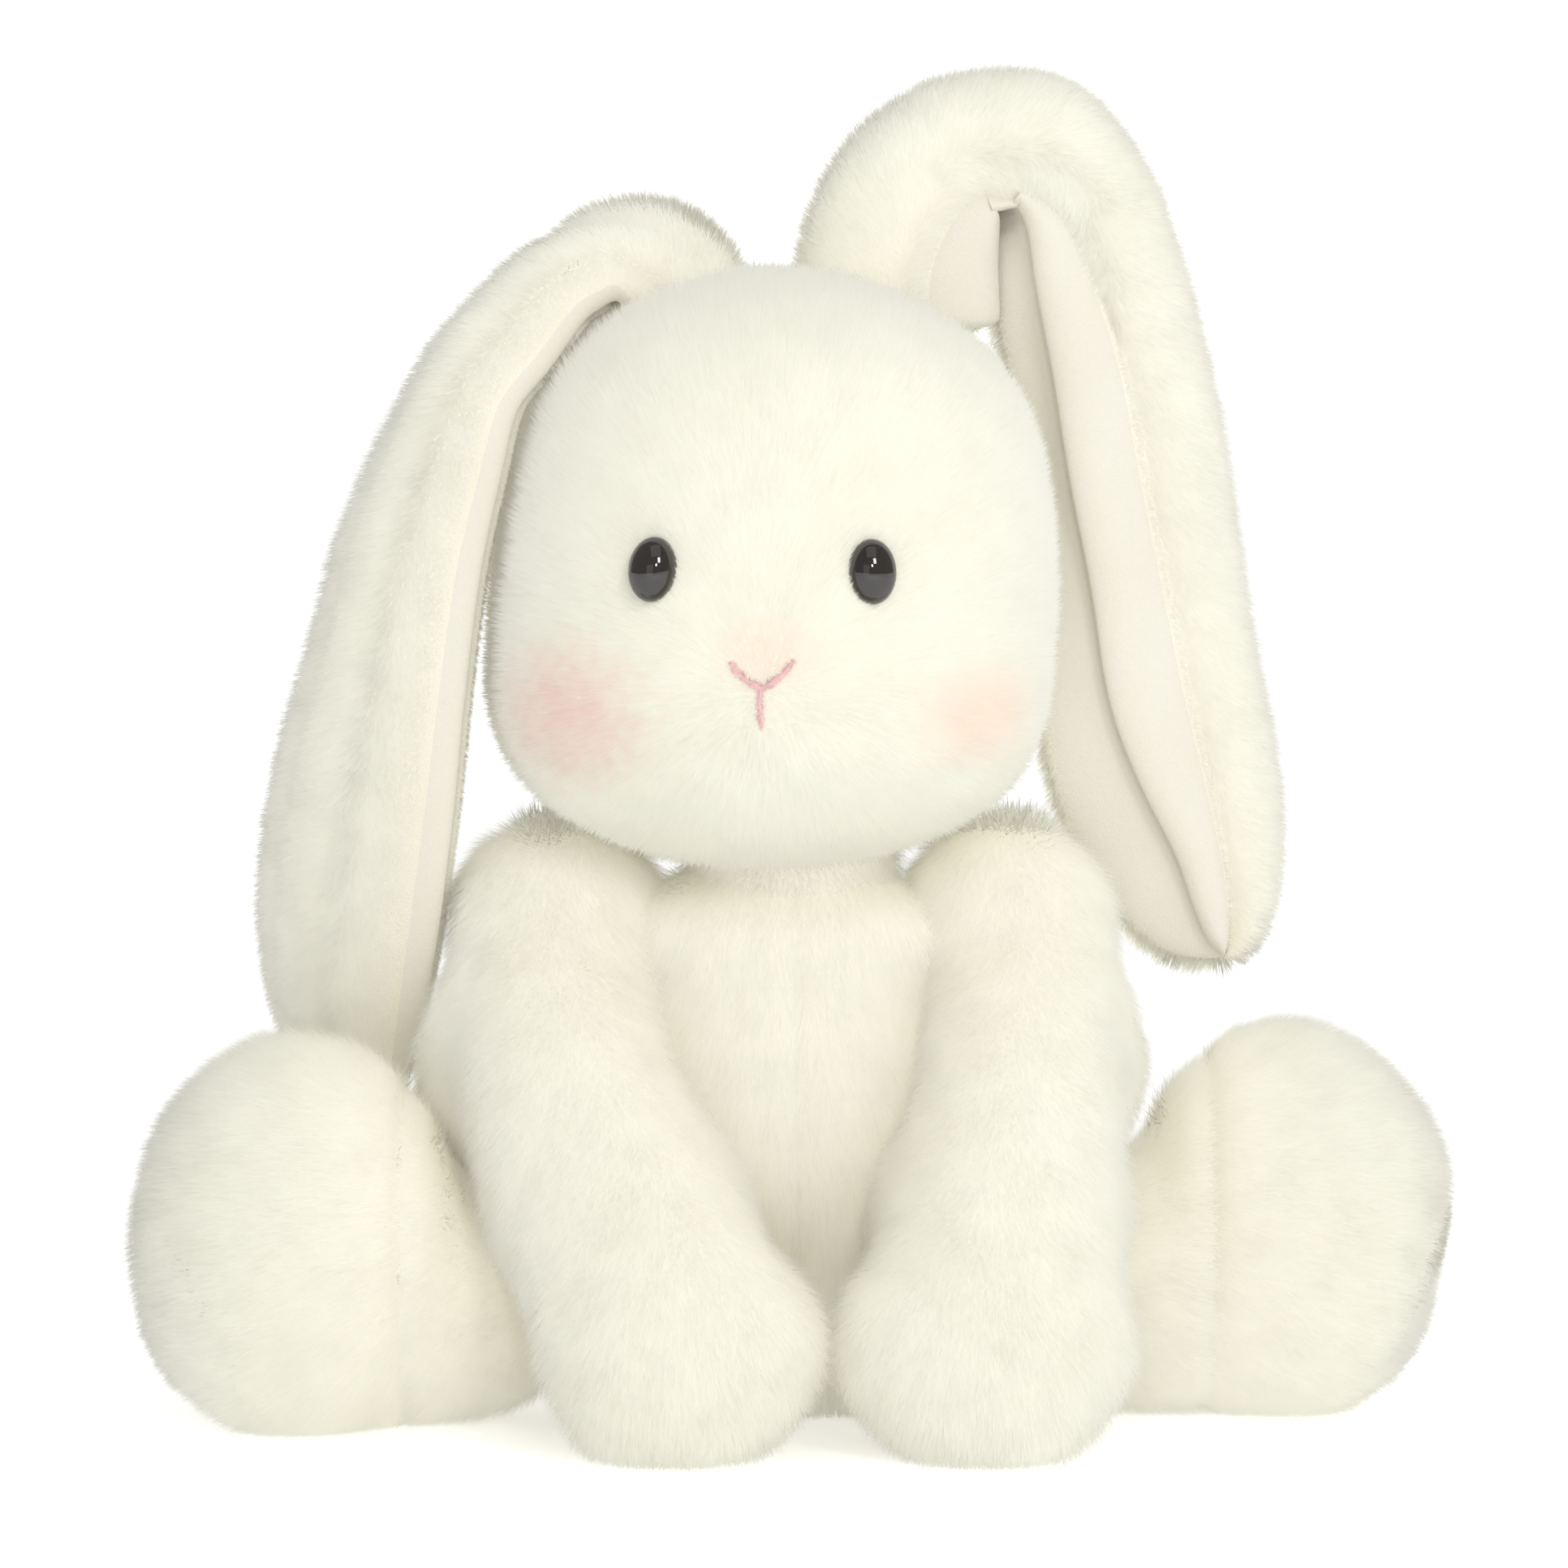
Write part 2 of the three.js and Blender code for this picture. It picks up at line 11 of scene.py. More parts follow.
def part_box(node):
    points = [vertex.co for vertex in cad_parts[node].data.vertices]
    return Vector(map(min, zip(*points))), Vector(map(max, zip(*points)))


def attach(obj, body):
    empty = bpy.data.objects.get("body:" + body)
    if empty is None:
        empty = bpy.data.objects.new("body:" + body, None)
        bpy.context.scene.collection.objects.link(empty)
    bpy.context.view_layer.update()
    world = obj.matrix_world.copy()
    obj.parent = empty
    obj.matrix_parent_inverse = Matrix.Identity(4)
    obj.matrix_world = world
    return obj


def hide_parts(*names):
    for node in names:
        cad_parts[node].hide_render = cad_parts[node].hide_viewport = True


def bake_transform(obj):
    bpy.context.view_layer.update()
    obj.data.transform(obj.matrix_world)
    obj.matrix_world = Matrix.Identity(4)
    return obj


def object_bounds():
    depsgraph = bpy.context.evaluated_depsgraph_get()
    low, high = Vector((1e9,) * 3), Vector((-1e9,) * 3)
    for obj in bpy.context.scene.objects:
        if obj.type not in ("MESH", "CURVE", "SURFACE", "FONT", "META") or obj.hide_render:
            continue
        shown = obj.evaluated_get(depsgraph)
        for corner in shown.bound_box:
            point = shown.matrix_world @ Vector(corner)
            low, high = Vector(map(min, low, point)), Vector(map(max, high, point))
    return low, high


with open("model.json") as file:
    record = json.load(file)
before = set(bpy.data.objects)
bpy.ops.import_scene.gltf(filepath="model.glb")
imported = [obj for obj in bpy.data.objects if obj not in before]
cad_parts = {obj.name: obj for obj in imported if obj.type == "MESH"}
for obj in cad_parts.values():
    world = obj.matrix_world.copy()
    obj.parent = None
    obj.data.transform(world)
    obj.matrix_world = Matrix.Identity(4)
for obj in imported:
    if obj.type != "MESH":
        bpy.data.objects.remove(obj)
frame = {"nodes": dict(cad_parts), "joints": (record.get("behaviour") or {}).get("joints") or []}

MM = 0.001
cad_low, cad_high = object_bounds()
SIDES = {"left": 1, "right": -1}
JOINTS = {joint["name"]: joint for joint in frame["joints"]}


def middle_of(node):
    low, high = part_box(node)
    return (low + high) / 2


# ---- Studio ----

scene = bpy.context.scene
scene.view_settings.view_transform = "Standard"

CAMERA_DISTANCE = 1.8
CAMERA_TILT = math.radians(5)
CAMERA_LENS = 182.3
CAMERA_SENSOR = 36
CAMERA_AIM = Vector((2.8, -10.7, -4)) * MM       # beside the head's middle, at the toy's middle height
ROOM_LIGHT = 0.82
REFLECTED_LIGHT = 0.35
BACKDROP_LIGHT = 1.2
FLOOR_GLOW = 0.30
ROOM_COLOUR = (1.0, 0.995, 0.975, 1)
DIM_SIDE, BRIGHT_SIDE = 0.80, 1.16               # shares of the room's light from each side


def make_camera():
    head = middle_of("head_cover")
    aim = Vector((head.x, head.y, (cad_low.z + cad_high.z) / 2)) + CAMERA_AIM
    camera = bpy.data.objects.new("camera", bpy.data.cameras.new("camera"))
    scene.collection.objects.link(camera)
    away = Vector((0, -math.cos(CAMERA_TILT), math.sin(CAMERA_TILT)))
    camera.location = aim + away * CAMERA_DISTANCE
    camera.rotation_euler = (math.pi / 2 - CAMERA_TILT, 0, 0)
    camera.data.lens = CAMERA_LENS
    camera.data.sensor_width = CAMERA_SENSOR
    scene.camera = camera


def make_softbox(name, place, size, power, colour):
    """A soft rectangular lamp turned towards the head."""
    light = bpy.data.lights.new(name, "AREA")
    light.shape = "RECTANGLE"
    light.size, light.size_y = size
    light.energy = power
    light.color = colour
    lamp = bpy.data.objects.new(name, light)
    lamp.location = place
    lamp.rotation_euler = (middle_of("head_cover") - Vector(place)).to_track_quat("-Z", "Y").to_euler()
    scene.collection.objects.link(lamp)


def make_world():
    """Soft light all round, brighter from the left side of the toy. Gloss mirrors a darker room."""
    world = bpy.data.worlds.new("studio")
    world.use_nodes = True
    tree = Tree(world.node_tree)
    background = world.node_tree.nodes["Background"]
    background.inputs["Color"].default_value = ROOM_COLOUR
    direction = tree.add("ShaderNodeTexCoord").outputs["Generated"]
    sideways = tree.add("ShaderNodeSeparateXYZ", {"Vector": direction}).outputs["X"]
    room = tree.add("ShaderNodeMapRange", {"Value": sideways, "From Min": -1.0, "From Max": 1.0,
                                           "To Min": ROOM_LIGHT * DIM_SIDE,
                                           "To Max": ROOM_LIGHT * BRIGHT_SIDE}).outputs["Result"]
    path = tree.add("ShaderNodeLightPath").outputs
    unseen = tree.add("ShaderNodeMapRange", {"Value": path["Is Glossy Ray"], "To Min": room,
                                             "To Max": REFLECTED_LIGHT}).outputs["Result"]
    strength = tree.add("ShaderNodeMapRange", {"Value": path["Is Camera Ray"], "To Min": unseen,
                                               "To Max": BACKDROP_LIGHT}).outputs["Result"]
    tree.link(strength, background.inputs["Strength"])
    scene.world = world


SOFTBOXES = {           # place, size, watts, colour
    "key_softbox": ((0.6, -1.4, 1.1), (0.34, 0.44), 5.6, (1.0, 0.985, 0.95)),
    "fill_softbox": ((-0.6, -1.7, 0.4), (0.9, 0.9), 1.0, (0.98, 0.99, 1.0)),
    "catch_light": ((0.25, -1.6, 0.75), (0.13, 0.17), 2.5, (1.0, 1.0, 1.0)),
    "top_softbox": ((0.1, -0.7, 1.6), (1.2, 1.2), 2.0, (1.0, 0.99, 0.97)),
}


# ---- Node helpers ----

class Tree:
    """A node tree under construction: nodes are added and linked by their sockets' names."""

    def __init__(self, tree):
        self.tree = tree

    def add(self, kind, values=None, **settings):
        node = self.tree.nodes.new(kind)
        for key, value in settings.items():
            setattr(node, key, value)
        for key, value in (values or {}).items():
            if isinstance(value, bpy.types.NodeSocket):
                self.tree.links.new(value, node.inputs[key])
            else:
                node.inputs[key].default_value = value
        return node

    def link(self, output, socket):
        self.tree.links.new(output, socket)

    def maths(self, operation, first, second=0.0, third=0.0, clamp=False):
        return self.add("ShaderNodeMath", {0: first, 1: second, 2: third}, operation=operation,
                        use_clamp=clamp).outputs[0]

    def vector(self, operation, first, second=(0, 0, 0), scale=None):
        values = {0: first, 1: second}
        if scale is not None:
            values["Scale"] = scale
        return self.add("ShaderNodeVectorMath", values, operation=operation).outputs[0]

    def mix(self, factor, first, second):
        node = self.add("ShaderNodeMix", data_type="RGBA")
        for place, value in ((0, factor), (6, first), (7, second)):
            if isinstance(value, bpy.types.NodeSocket):
                self.link(value, node.inputs[place])
            else:
                node.inputs[place].default_value = value
        return node.outputs[2]

    def named(self, name, kind):
        """A geometry attribute, read by its name."""
        node = self.add("GeometryNodeInputNamedAttribute", {"Name": name}, data_type=kind)
        return node.outputs["Attribute"]

    def random(self, low, high, seed):
        """A number between low and high, different for each point."""
        values = {"Min": low, "Max": high, "Seed": seed}
        node = self.add("FunctionNodeRandomValue", values, data_type="FLOAT")
        return next(output for output in node.outputs if output.enabled)

    def stored(self, geometry, name, value, kind):
        """The geometry with this value kept as a named attribute of its points."""
        values = {"Geometry": geometry, "Name": name, "Value": value}
        return self.add("GeometryNodeStoreNamedAttribute", values, data_type=kind, domain="POINT").outputs[0]


def shader_group(name, inputs, outputs):
    group = bpy.data.node_groups.new(name, "ShaderNodeTree")
    for label, kind, value in inputs:
        made = group.interface.new_socket(label, in_out="INPUT", socket_type=kind)
        if value is not None:
            made.default_value = value
    for label, kind in outputs:
        group.interface.new_socket(label, in_out="OUTPUT", socket_type=kind)
    tree = Tree(group)
    return group, tree, tree.add("NodeGroupInput").outputs, tree.add("NodeGroupOutput").inputs


def make_material(name, **uniform):
    material = bpy.data.materials.new(name)
    material.use_nodes = True
    tree = Tree(material.node_tree)
    shader = material.node_tree.nodes["Principled BSDF"]
    for label, value in uniform.items():
        shader.inputs[label.replace("_", " ")].default_value = value
    coords = tree.add("ShaderNodeTexCoord").outputs["Object"]
    return material, tree, shader, coords


TUFT_SCALE = 260.0           # how fine the ragged edge of a dyed spot is


def patches_group():
    """Soft patches of two colours, with fine grain and a bumpy height."""
    group, tree, given, out = shader_group(
        "soft_patches",
        [("Coordinates", "NodeSocketVector", None), ("Light Colour", "NodeSocketColor", (1, 1, 1, 1)),
         ("Deep Colour", "NodeSocketColor", (0.8, 0.8, 0.8, 1)), ("Patch Scale", "NodeSocketFloat", 40.0),
         ("Grain Scale", "NodeSocketFloat", 900.0), ("Grain", "NodeSocketFloat", 0.1)],
        [("Colour", "NodeSocketColor"), ("Height", "NodeSocketFloat")])
    patch, grain = (
        tree.add("ShaderNodeTexNoise", {"Vector": given["Coordinates"], "Scale": given[scale],
                                        "Detail": detail}).outputs["Fac"]
        for scale, detail in (("Patch Scale", 3.0), ("Grain Scale", 2.0)))
    spread = tree.maths("MULTIPLY", tree.maths("SUBTRACT", grain, 0.5), given["Grain"])
    contrast = tree.maths("MULTIPLY", tree.maths("SUBTRACT", patch, 0.35), 3.0)
    share = tree.maths("ADD", contrast, spread, clamp=True)
    tree.link(tree.mix(share, given["Deep Colour"], given["Light Colour"]), out["Colour"])
    tree.link(grain, out["Height"])
    return group


def spot_group():
    """How strongly a soft round spot of dye colours a point."""
    group, tree, given, out = shader_group(
        "soft_spot",
        [("Coordinates", "NodeSocketVector", None), ("Centre", "NodeSocketVector", (0, 0, 0)),
         ("Reach", "NodeSocketVector", (1, 1, 1)), ("Raggedness", "NodeSocketFloat", 0.2),
         ("Core", "NodeSocketFloat", 0.2)],
        [("Mask", "NodeSocketFloat")])
    place = given["Coordinates"]
    away = tree.vector("DIVIDE", tree.vector("SUBTRACT", place, given["Centre"]), given["Reach"])
    length = tree.add("ShaderNodeVectorMath", {0: away}, operation="LENGTH").outputs["Value"]
    ragged = tree.add("ShaderNodeTexNoise", {"Vector": place, "Scale": TUFT_SCALE, "Detail": 3.0})
    rough = tree.maths("MULTIPLY", tree.maths("SUBTRACT", ragged.outputs["Fac"], 0.5), given["Raggedness"])
    edge = tree.add("ShaderNodeMapRange",
                    {"Value": tree.maths("ADD", length, rough), "From Min": given["Core"],
                     "From Max": 1.0, "To Min": 1.0, "To Max": 0.0},
                    interpolation_type="SMOOTHSTEP")
    tree.link(edge.outputs["Result"], out["Mask"])
    return group


# ---- Cloth, fur and plastic finishes ----

PATCHES = patches_group()
SPOT = spot_group()

FUR_LIGHT = (0.86, 0.855, 0.76, 1)
FUR_DEEP = (0.835, 0.83, 0.72, 1)
FUR_ROOT = (0.80, 0.76, 0.61, 1)
ROOT_SHARE = 0.55            # how much of the root's colour shows at the foot of a strand
LEAST_TONE, TONE_RANGE = 0.965, 0.05
LEAST_UPTAKE, MOST_UPTAKE = 0.55, 1.15


def in_group(tree, group, **values):
    node = tree.add("ShaderNodeGroup", node_tree=group)
    for label, value in values.items():
        socket = node.inputs[label.replace("_", " ")]
        if isinstance(value, bpy.types.NodeSocket):
            tree.link(value, socket)
        else:
            socket.default_value = value
    return node.outputs


def fur_material(name, dyes=()):
    """Fur: paler at the tips, each strand a little different, dyed where the spots are.

    LEAST_TONE and TONE_RANGE are a strand's brightness. Strands take up the dye by different amounts.
    """
    material, tree, shader, coords = make_material(
        name, Roughness=0.85, Specular_IOR_Level=0.15, Sheen_Weight=0.5, Sheen_Roughness=0.6)
    tips = in_group(tree, PATCHES, Coordinates=coords, Light_Colour=FUR_LIGHT, Deep_Colour=FUR_DEEP,
                    Patch_Scale=28.0, Grain_Scale=500.0, Grain=0.5)["Colour"]
    tone = tree.add("ShaderNodeAttribute", attribute_name="tone").outputs["Fac"]
    uptake = tree.add("ShaderNodeMapRange", {"Value": tone, "To Min": LEAST_UPTAKE,
                                             "To Max": MOST_UPTAKE}).outputs["Result"]
    for centre, reach, colour, strength, ragged, core in dyes:
        mask = in_group(tree, SPOT, Coordinates=coords, Centre=centre, Reach=reach, Raggedness=ragged,
                        Core=core)["Mask"]
        dyed = tree.maths("MULTIPLY", tree.maths("MULTIPLY", mask, strength), uptake, clamp=True)
        tips = tree.mix(dyed, tips, colour)
    along = tree.add("ShaderNodeAttribute", attribute_name="along").outputs["Fac"]
    near_root = tree.maths("MULTIPLY", tree.maths("SUBTRACT", 1.0, along), ROOT_SHARE)
    strand = tree.mix(near_root, tips, FUR_ROOT)
    brightness = tree.maths("MULTIPLY_ADD", tone, TONE_RANGE, LEAST_TONE)
    toned = tree.add("ShaderNodeHueSaturation", {"Color": strand, "Value": brightness})
    tree.link(toned.outputs["Color"], shader.inputs["Base Color"])
    return material


def cloth_material(name, light, deep, grain_scale, bump, roughness=0.9, sheen=0.3):
    material, tree, shader, coords = make_material(
        name, Roughness=roughness, Specular_IOR_Level=0.15, Sheen_Weight=sheen, Sheen_Roughness=0.5)
    cloth = in_group(tree, PATCHES, Coordinates=coords, Light_Colour=light, Deep_Colour=deep,
                     Patch_Scale=30.0, Grain_Scale=grain_scale, Grain=0.6)
    tree.link(cloth["Colour"], shader.inputs["Base Color"])
    bumps = tree.add("ShaderNodeBump", {"Height": cloth["Height"], "Strength": bump, "Distance": 0.0006})
    tree.link(bumps.outputs["Normal"], shader.inputs["Normal"])
    return material


def plastic_material(name, colour, deep, roughness):
    material, tree, shader, coords = make_material(name, Roughness=roughness, Specular_IOR_Level=1.0)
    plastic = in_group(tree, PATCHES, Coordinates=coords, Light_Colour=colour, Deep_Colour=deep,
                       Patch_Scale=140.0, Grain_Scale=2500.0, Grain=0.2)
    tree.link(plastic["Colour"], shader.inputs["Base Color"])
    return material


# ---- Mesh helpers ----

def object_from(name, mesh):
    made = bpy.data.objects.new(name, mesh)
    scene.collection.objects.link(made)
    return made


def mesh_from(name, points, faces, material, smooth=True):
    mesh = bpy.data.meshes.new(name)
    mesh.from_pydata([tuple(p) for p in points], [], faces)
    if smooth:
        mesh.shade_smooth()
    made = object_from(name, mesh)
    made.data.materials.append(material)
    return made


def points_of(mesh):
    points = np.empty(len(mesh.vertices) * 3)
    mesh.vertices.foreach_get("co", points)
    return points.reshape(-1, 3)


def put_points(mesh, points):
    mesh.vertices.foreach_set("co", np.asarray(points, float).ravel())
    mesh.update()


def applied(made):
    """The object with its modifiers made part of its mesh."""
    graph = bpy.context.evaluated_depsgraph_get()
    mesh = bpy.data.meshes.new_from_object(made.evaluated_get(graph))
    made.modifiers.clear()
    old = made.data
    made.data = mesh
    bpy.data.meshes.remove(old)
    return made


def with_modifier(made, kind, **settings):
    modifier = made.modifiers.new(kind.lower(), kind)
    for key, value in settings.items():
        setattr(modifier, key, value)
    return applied(made)


def subdivided(made, levels=1):
    return with_modifier(made, "SUBSURF", levels=levels, render_levels=levels)


def merged_copy(nodes):
    """One bmesh of these CAD nodes, with their loose triangles joined up."""
    body = bmesh.new()
    for node in nodes:
        body.from_mesh(frame["nodes"][node].data)
    bmesh.ops.remove_doubles(body, verts=body.verts, dist=0.02 * MM)
    return body


# ---- Stuffed bags: torso, head, arms, legs and tail ----

WALL_DEPTH = 1.6 * MM        # a cover's outer wall is further than this from its filling
VOXEL = 4.0 * MM
PRESSURE = 4.0
LAST_STEP = 20
FLOOR_CLEARANCE = 0.4 * MM


def outer_bag(name, covers, fillings, material):
    """The outside of a sewn cover as one closed form, with its open seams filled in."""
    bag = merged_copy(covers)
    filling = merged_copy(fillings)
    if fillings:
        inside = BVHTree.FromBMesh(filling)
        inner = [v for v in bag.verts if inside.find_nearest(v.co)[3] < WALL_DEPTH]
        bmesh.ops.delete(bag, geom=inner, context="VERTS")
    open_edges = [e for e in bag.edges if e.is_boundary]
    bmesh.ops.holes_fill(bag, edges=open_edges, sides=0)
    bmesh.ops.triangulate(bag, faces=[f for f in bag.faces if len(f.verts) > 4])
    bmesh.ops.join_triangles(bag, faces=bag.faces, angle_face_threshold=0.6, angle_shape_threshold=1.0)
    bmesh.ops.recalc_face_normals(bag, faces=bag.faces)
    mesh = bpy.data.meshes.new(name)
    bag.to_mesh(mesh)
    bag.free()
    filling.free()
    made = object_from(name, mesh)
    made.data.materials.append(material)
    return made


def inflate(made, cap):
    """The bag filled under pressure in a cloth simulation. No point moves further than cap."""
    start = points_of(made.data)
    cloth = made.modifiers.new("cloth", "CLOTH")
    cloth.settings.quality = 4
    cloth.settings.mass = 0.3
    cloth.settings.tension_stiffness = 12
    cloth.settings.compression_stiffness = 8
    cloth.settings.bending_stiffness = 0.6
    cloth.settings.use_pressure = True
    cloth.settings.uniform_pressure_force = PRESSURE
    cloth.settings.effector_weights.gravity = 0
    cloth.collision_settings.use_collision = False
    for step in range(1, LAST_STEP + 1):
        scene.frame_set(step)
    applied(made)
    scene.frame_set(1)
    moved = points_of(made.data) - start
    far = np.linalg.norm(moved, axis=1, keepdims=True)
    moved *= np.minimum(1.0, cap / np.maximum(far, 1e-9))
    put_points(made.data, start + moved)


def add_plumpness(made, lumps):
    """Round lumps of filling that the remesh joins to the bag, as centre and radii in millimetres."""
    body = bmesh.new()
    body.from_mesh(made.data)
    for centre, radii in lumps:
        place = Matrix.LocRotScale(Vector(centre) * MM, None, Vector(radii) * MM)
        bmesh.ops.create_uvsphere(body, u_segments=32, v_segments=20, radius=1, matrix=place)
    body.to_mesh(made.data)
    body.free()


def padded_bag(name, covers, fillings, body, material, cap=3.0 * MM, shrink=1.0 * MM, voxel=VOXEL,
               stretch=None, lumps=(), soften=4, shape=None):
    """A stuffed bag that stands for its cover and its filling."""
    made = subdivided(outer_bag(name, covers, fillings, material), 2)
    if stretch:
        stretch(made)
    add_plumpness(made, lumps)
    with_modifier(made, "REMESH", mode="VOXEL", voxel_size=voxel, use_smooth_shade=True)
    with_modifier(made, "SMOOTH", factor=0.5, iterations=soften)
    normals = vertex_normals(made.data)
    put_points(made.data, points_of(made.data) - normals * shrink)
    inflate(made, cap)
    subdivided(made)
    with_modifier(made, "SMOOTH", factor=0.5, iterations=3)
    if shape:
        shape(made)
    points = points_of(made.data)
    points[:, 2] = np.maximum(points[:, 2], FLOOR_CLEARANCE)
    put_points(made.data, points)
    made.data.shade_smooth()
    made.data.materials.clear()
    made.data.materials.append(material)
    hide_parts(*covers, *fillings)
    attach(made, body)
    return made


def pressed_seam(made, near, depth, width):
    """A shallow groove where near, a distance in metres for each point, is small."""
    points = points_of(made.data)
    dip = depth * np.exp(-(near(points) / width) ** 2)
    put_points(made.data, points - vertex_normals(made.data) * dip[:, None])


def outward_faces(mesh):
    body = bmesh.new()
    body.from_mesh(mesh)
    bmesh.ops.recalc_face_normals(body, faces=body.faces)
    body.to_mesh(mesh)
    body.free()


def vertex_normals(mesh):
    normals = np.empty(len(mesh.vertices) * 3)
    mesh.vertex_normals.foreach_get("vector", normals)
    return normals.reshape(-1, 3)


# ---- Fur ----

LEAST_PILE = 0.02            # fur shorter than this share of its length isn't grown
MOST_STRANDS = 195000        # a piece stays under 200,000 faces
SHORTEST, LONGEST = 0.65, 1.15                   # shares of the strand length
CLUMP_TOUSLE = 3.0           # how much more the clumps are tousled than single strands
BLADE_TWIST = 0.9            # how much strands are turned about their own length
TONE_SEED, STRAY_SEED, LENGTH_SEED = 11, 5, 7    # so that no two draws are alike
TIP_LIFT = 0.04              # how far the shading of a strand tilts from the skin towards its tip
ORDER_BITS = 8               # neighbours are found on a grid of 2 to this power


def fur_tree():
    """Strands scattered over a skin. The skin's own attributes comb and pile shape them."""
    tree = bpy.data.node_groups.new("fur_coat", "GeometryNodeTree")
    face = tree.interface
    face.new_socket("Skin", in_out="INPUT", socket_type="NodeSocketGeometry")
    for label, kind, value in (
            ("Strands per Area", "Float", 1e6), ("Strand Length", "Float", 0.005),
            ("Strand Width", "Float", 0.0005), ("Uprightness", "Float", 0.5), ("Tousle", "Float", 0.3),
            ("Clump Size", "Float", 0.01), ("Seed", "Int", 1), ("Material", "Material", None)):
        socket = face.new_socket(label, in_out="INPUT", socket_type="NodeSocket" + kind)
        if value is not None:
            socket.default_value = value
    face.new_socket("Fur", in_out="OUTPUT", socket_type="NodeSocketGeometry")
    made = Tree(tree)
    given = made.add("NodeGroupInput").outputs
    pile = made.named("pile", "FLOAT")
    comb = made.named("comb", "FLOAT_VECTOR")
    furry = made.add("FunctionNodeCompare", {"A": pile, "B": LEAST_PILE}, operation="GREATER_THAN").outputs[0]
    spread = made.add("GeometryNodeDistributePointsOnFaces",
                      {"Mesh": given["Skin"], "Selection": furry, "Density": given["Strands per Area"],
                       "Seed": given["Seed"]}, distribute_method="RANDOM")
    normal = spread.outputs["Normal"]
    roots = made.stored(spread.outputs["Points"], "root_normal", normal, "FLOAT_VECTOR")
    roots = made.stored(roots, "tone", made.random(0.0, 1.0, TONE_SEED), "FLOAT")

    # The way a strand leans: out of the skin, with the comb, in clumps, and a little at random.
    place = made.add("GeometryNodeInputPosition").outputs[0]
    clump = made.add("ShaderNodeTexNoise", {"Vector": made.vector("DIVIDE", place, given["Clump Size"]),
                                            "Scale": 1.0, "Detail": 2.0}).outputs["Color"]
    clump = made.vector("SCALE", made.vector("SUBTRACT", clump, (0.5, 0.5, 0.5)),
                        scale=made.maths("MULTIPLY", given["Tousle"], CLUMP_TOUSLE))
    stray = made.add("FunctionNodeRandomValue", {"Min": (-1, -1, -1), "Max": (1, 1, 1), "Seed": STRAY_SEED},
                     data_type="FLOAT_VECTOR").outputs[0]
    stray = made.vector("SCALE", stray, scale=given["Tousle"])
    upright = made.vector("SCALE", normal, scale=given["Uprightness"])
    lean = made.vector("ADD", made.vector("ADD", upright, comb), made.vector("ADD", clump, stray))
    flat = made.vector("ADD", normal, made.vector("SCALE", stray, scale=BLADE_TWIST))
    turn = made.add("FunctionNodeAxesToRotation", {"Primary Axis": lean, "Secondary Axis": flat},
                    primary_axis="Z", secondary_axis="Y").outputs[0]

    # One strand: a slim blade with its tip up.
    blade = made.add("GeometryNodeMeshCircle", {"Vertices": 3, "Radius": 1.0}, fill_type="NGON").outputs[0]
    index = made.add("GeometryNodeInputIndex").outputs[0]
    is_tip, is_second = (
        made.add("FunctionNodeCompare", {2: index, 3: corner}, data_type="INT", operation="EQUAL").outputs[0]
        for corner in (0, 1))
    sideways = made.add("GeometryNodeSwitch",
                        {"Switch": is_second, "False": (-0.5, 0, 0), "True": (0.5, 0, 0)},
                        input_type="VECTOR").outputs[0]
    corner = made.add("GeometryNodeSwitch", {"Switch": is_tip, "False": sideways, "True": (0, 0, 1)},
                      input_type="VECTOR").outputs[0]
    blade = made.add("GeometryNodeSetPosition", {"Geometry": blade, "Position": corner}).outputs[0]
    tipness = made.add("GeometryNodeSwitch", {"Switch": is_tip, "False": 0.0, "True": 1.0},
                       input_type="FLOAT").outputs[0]
    blade = made.stored(blade, "along", tipness, "FLOAT")

    uneven = made.random(SHORTEST, LONGEST, LENGTH_SEED)
    length = made.maths("MULTIPLY", made.maths("MULTIPLY", given["Strand Length"], pile), uneven)
    size = made.add("ShaderNodeCombineXYZ", {"X": given["Strand Width"], "Y": 1.0, "Z": length}).outputs[0]
    coat = made.add("GeometryNodeInstanceOnPoints",
                    {"Points": roots, "Instance": blade, "Rotation": turn, "Scale": size}).outputs[0]
    coat = made.add("GeometryNodeRealizeInstances", {"Geometry": coat}).outputs[0]
    coat = made.add("GeometryNodeSetMaterial", {"Geometry": coat, "Material": given["Material"]}).outputs[0]
    made.add("NodeGroupOutput", {"Fur": coat})
    return tree


FUR_TREE = fur_tree()
FUR_SOCKETS = {item.name: item.identifier for item in FUR_TREE.interface.items_tree
               if item.item_type == "SOCKET" and item.in_out == "INPUT"}


def neighbour_order(roots):
    """An order of the strands in which neighbours stay close together."""
    low, high = roots.min(0), roots.max(0)
    last_cell = 2 ** ORDER_BITS - 1
    cell = ((roots - low) / max((high - low).max(), 1e-9) * last_cell).astype(np.int64)
    code = np.zeros(len(roots), np.int64)
    for bit in range(ORDER_BITS):
        for axis in range(3):
            code |= ((cell[:, axis] >> bit) & 1) << (3 * bit + axis)
    return np.argsort(code, kind="stable")


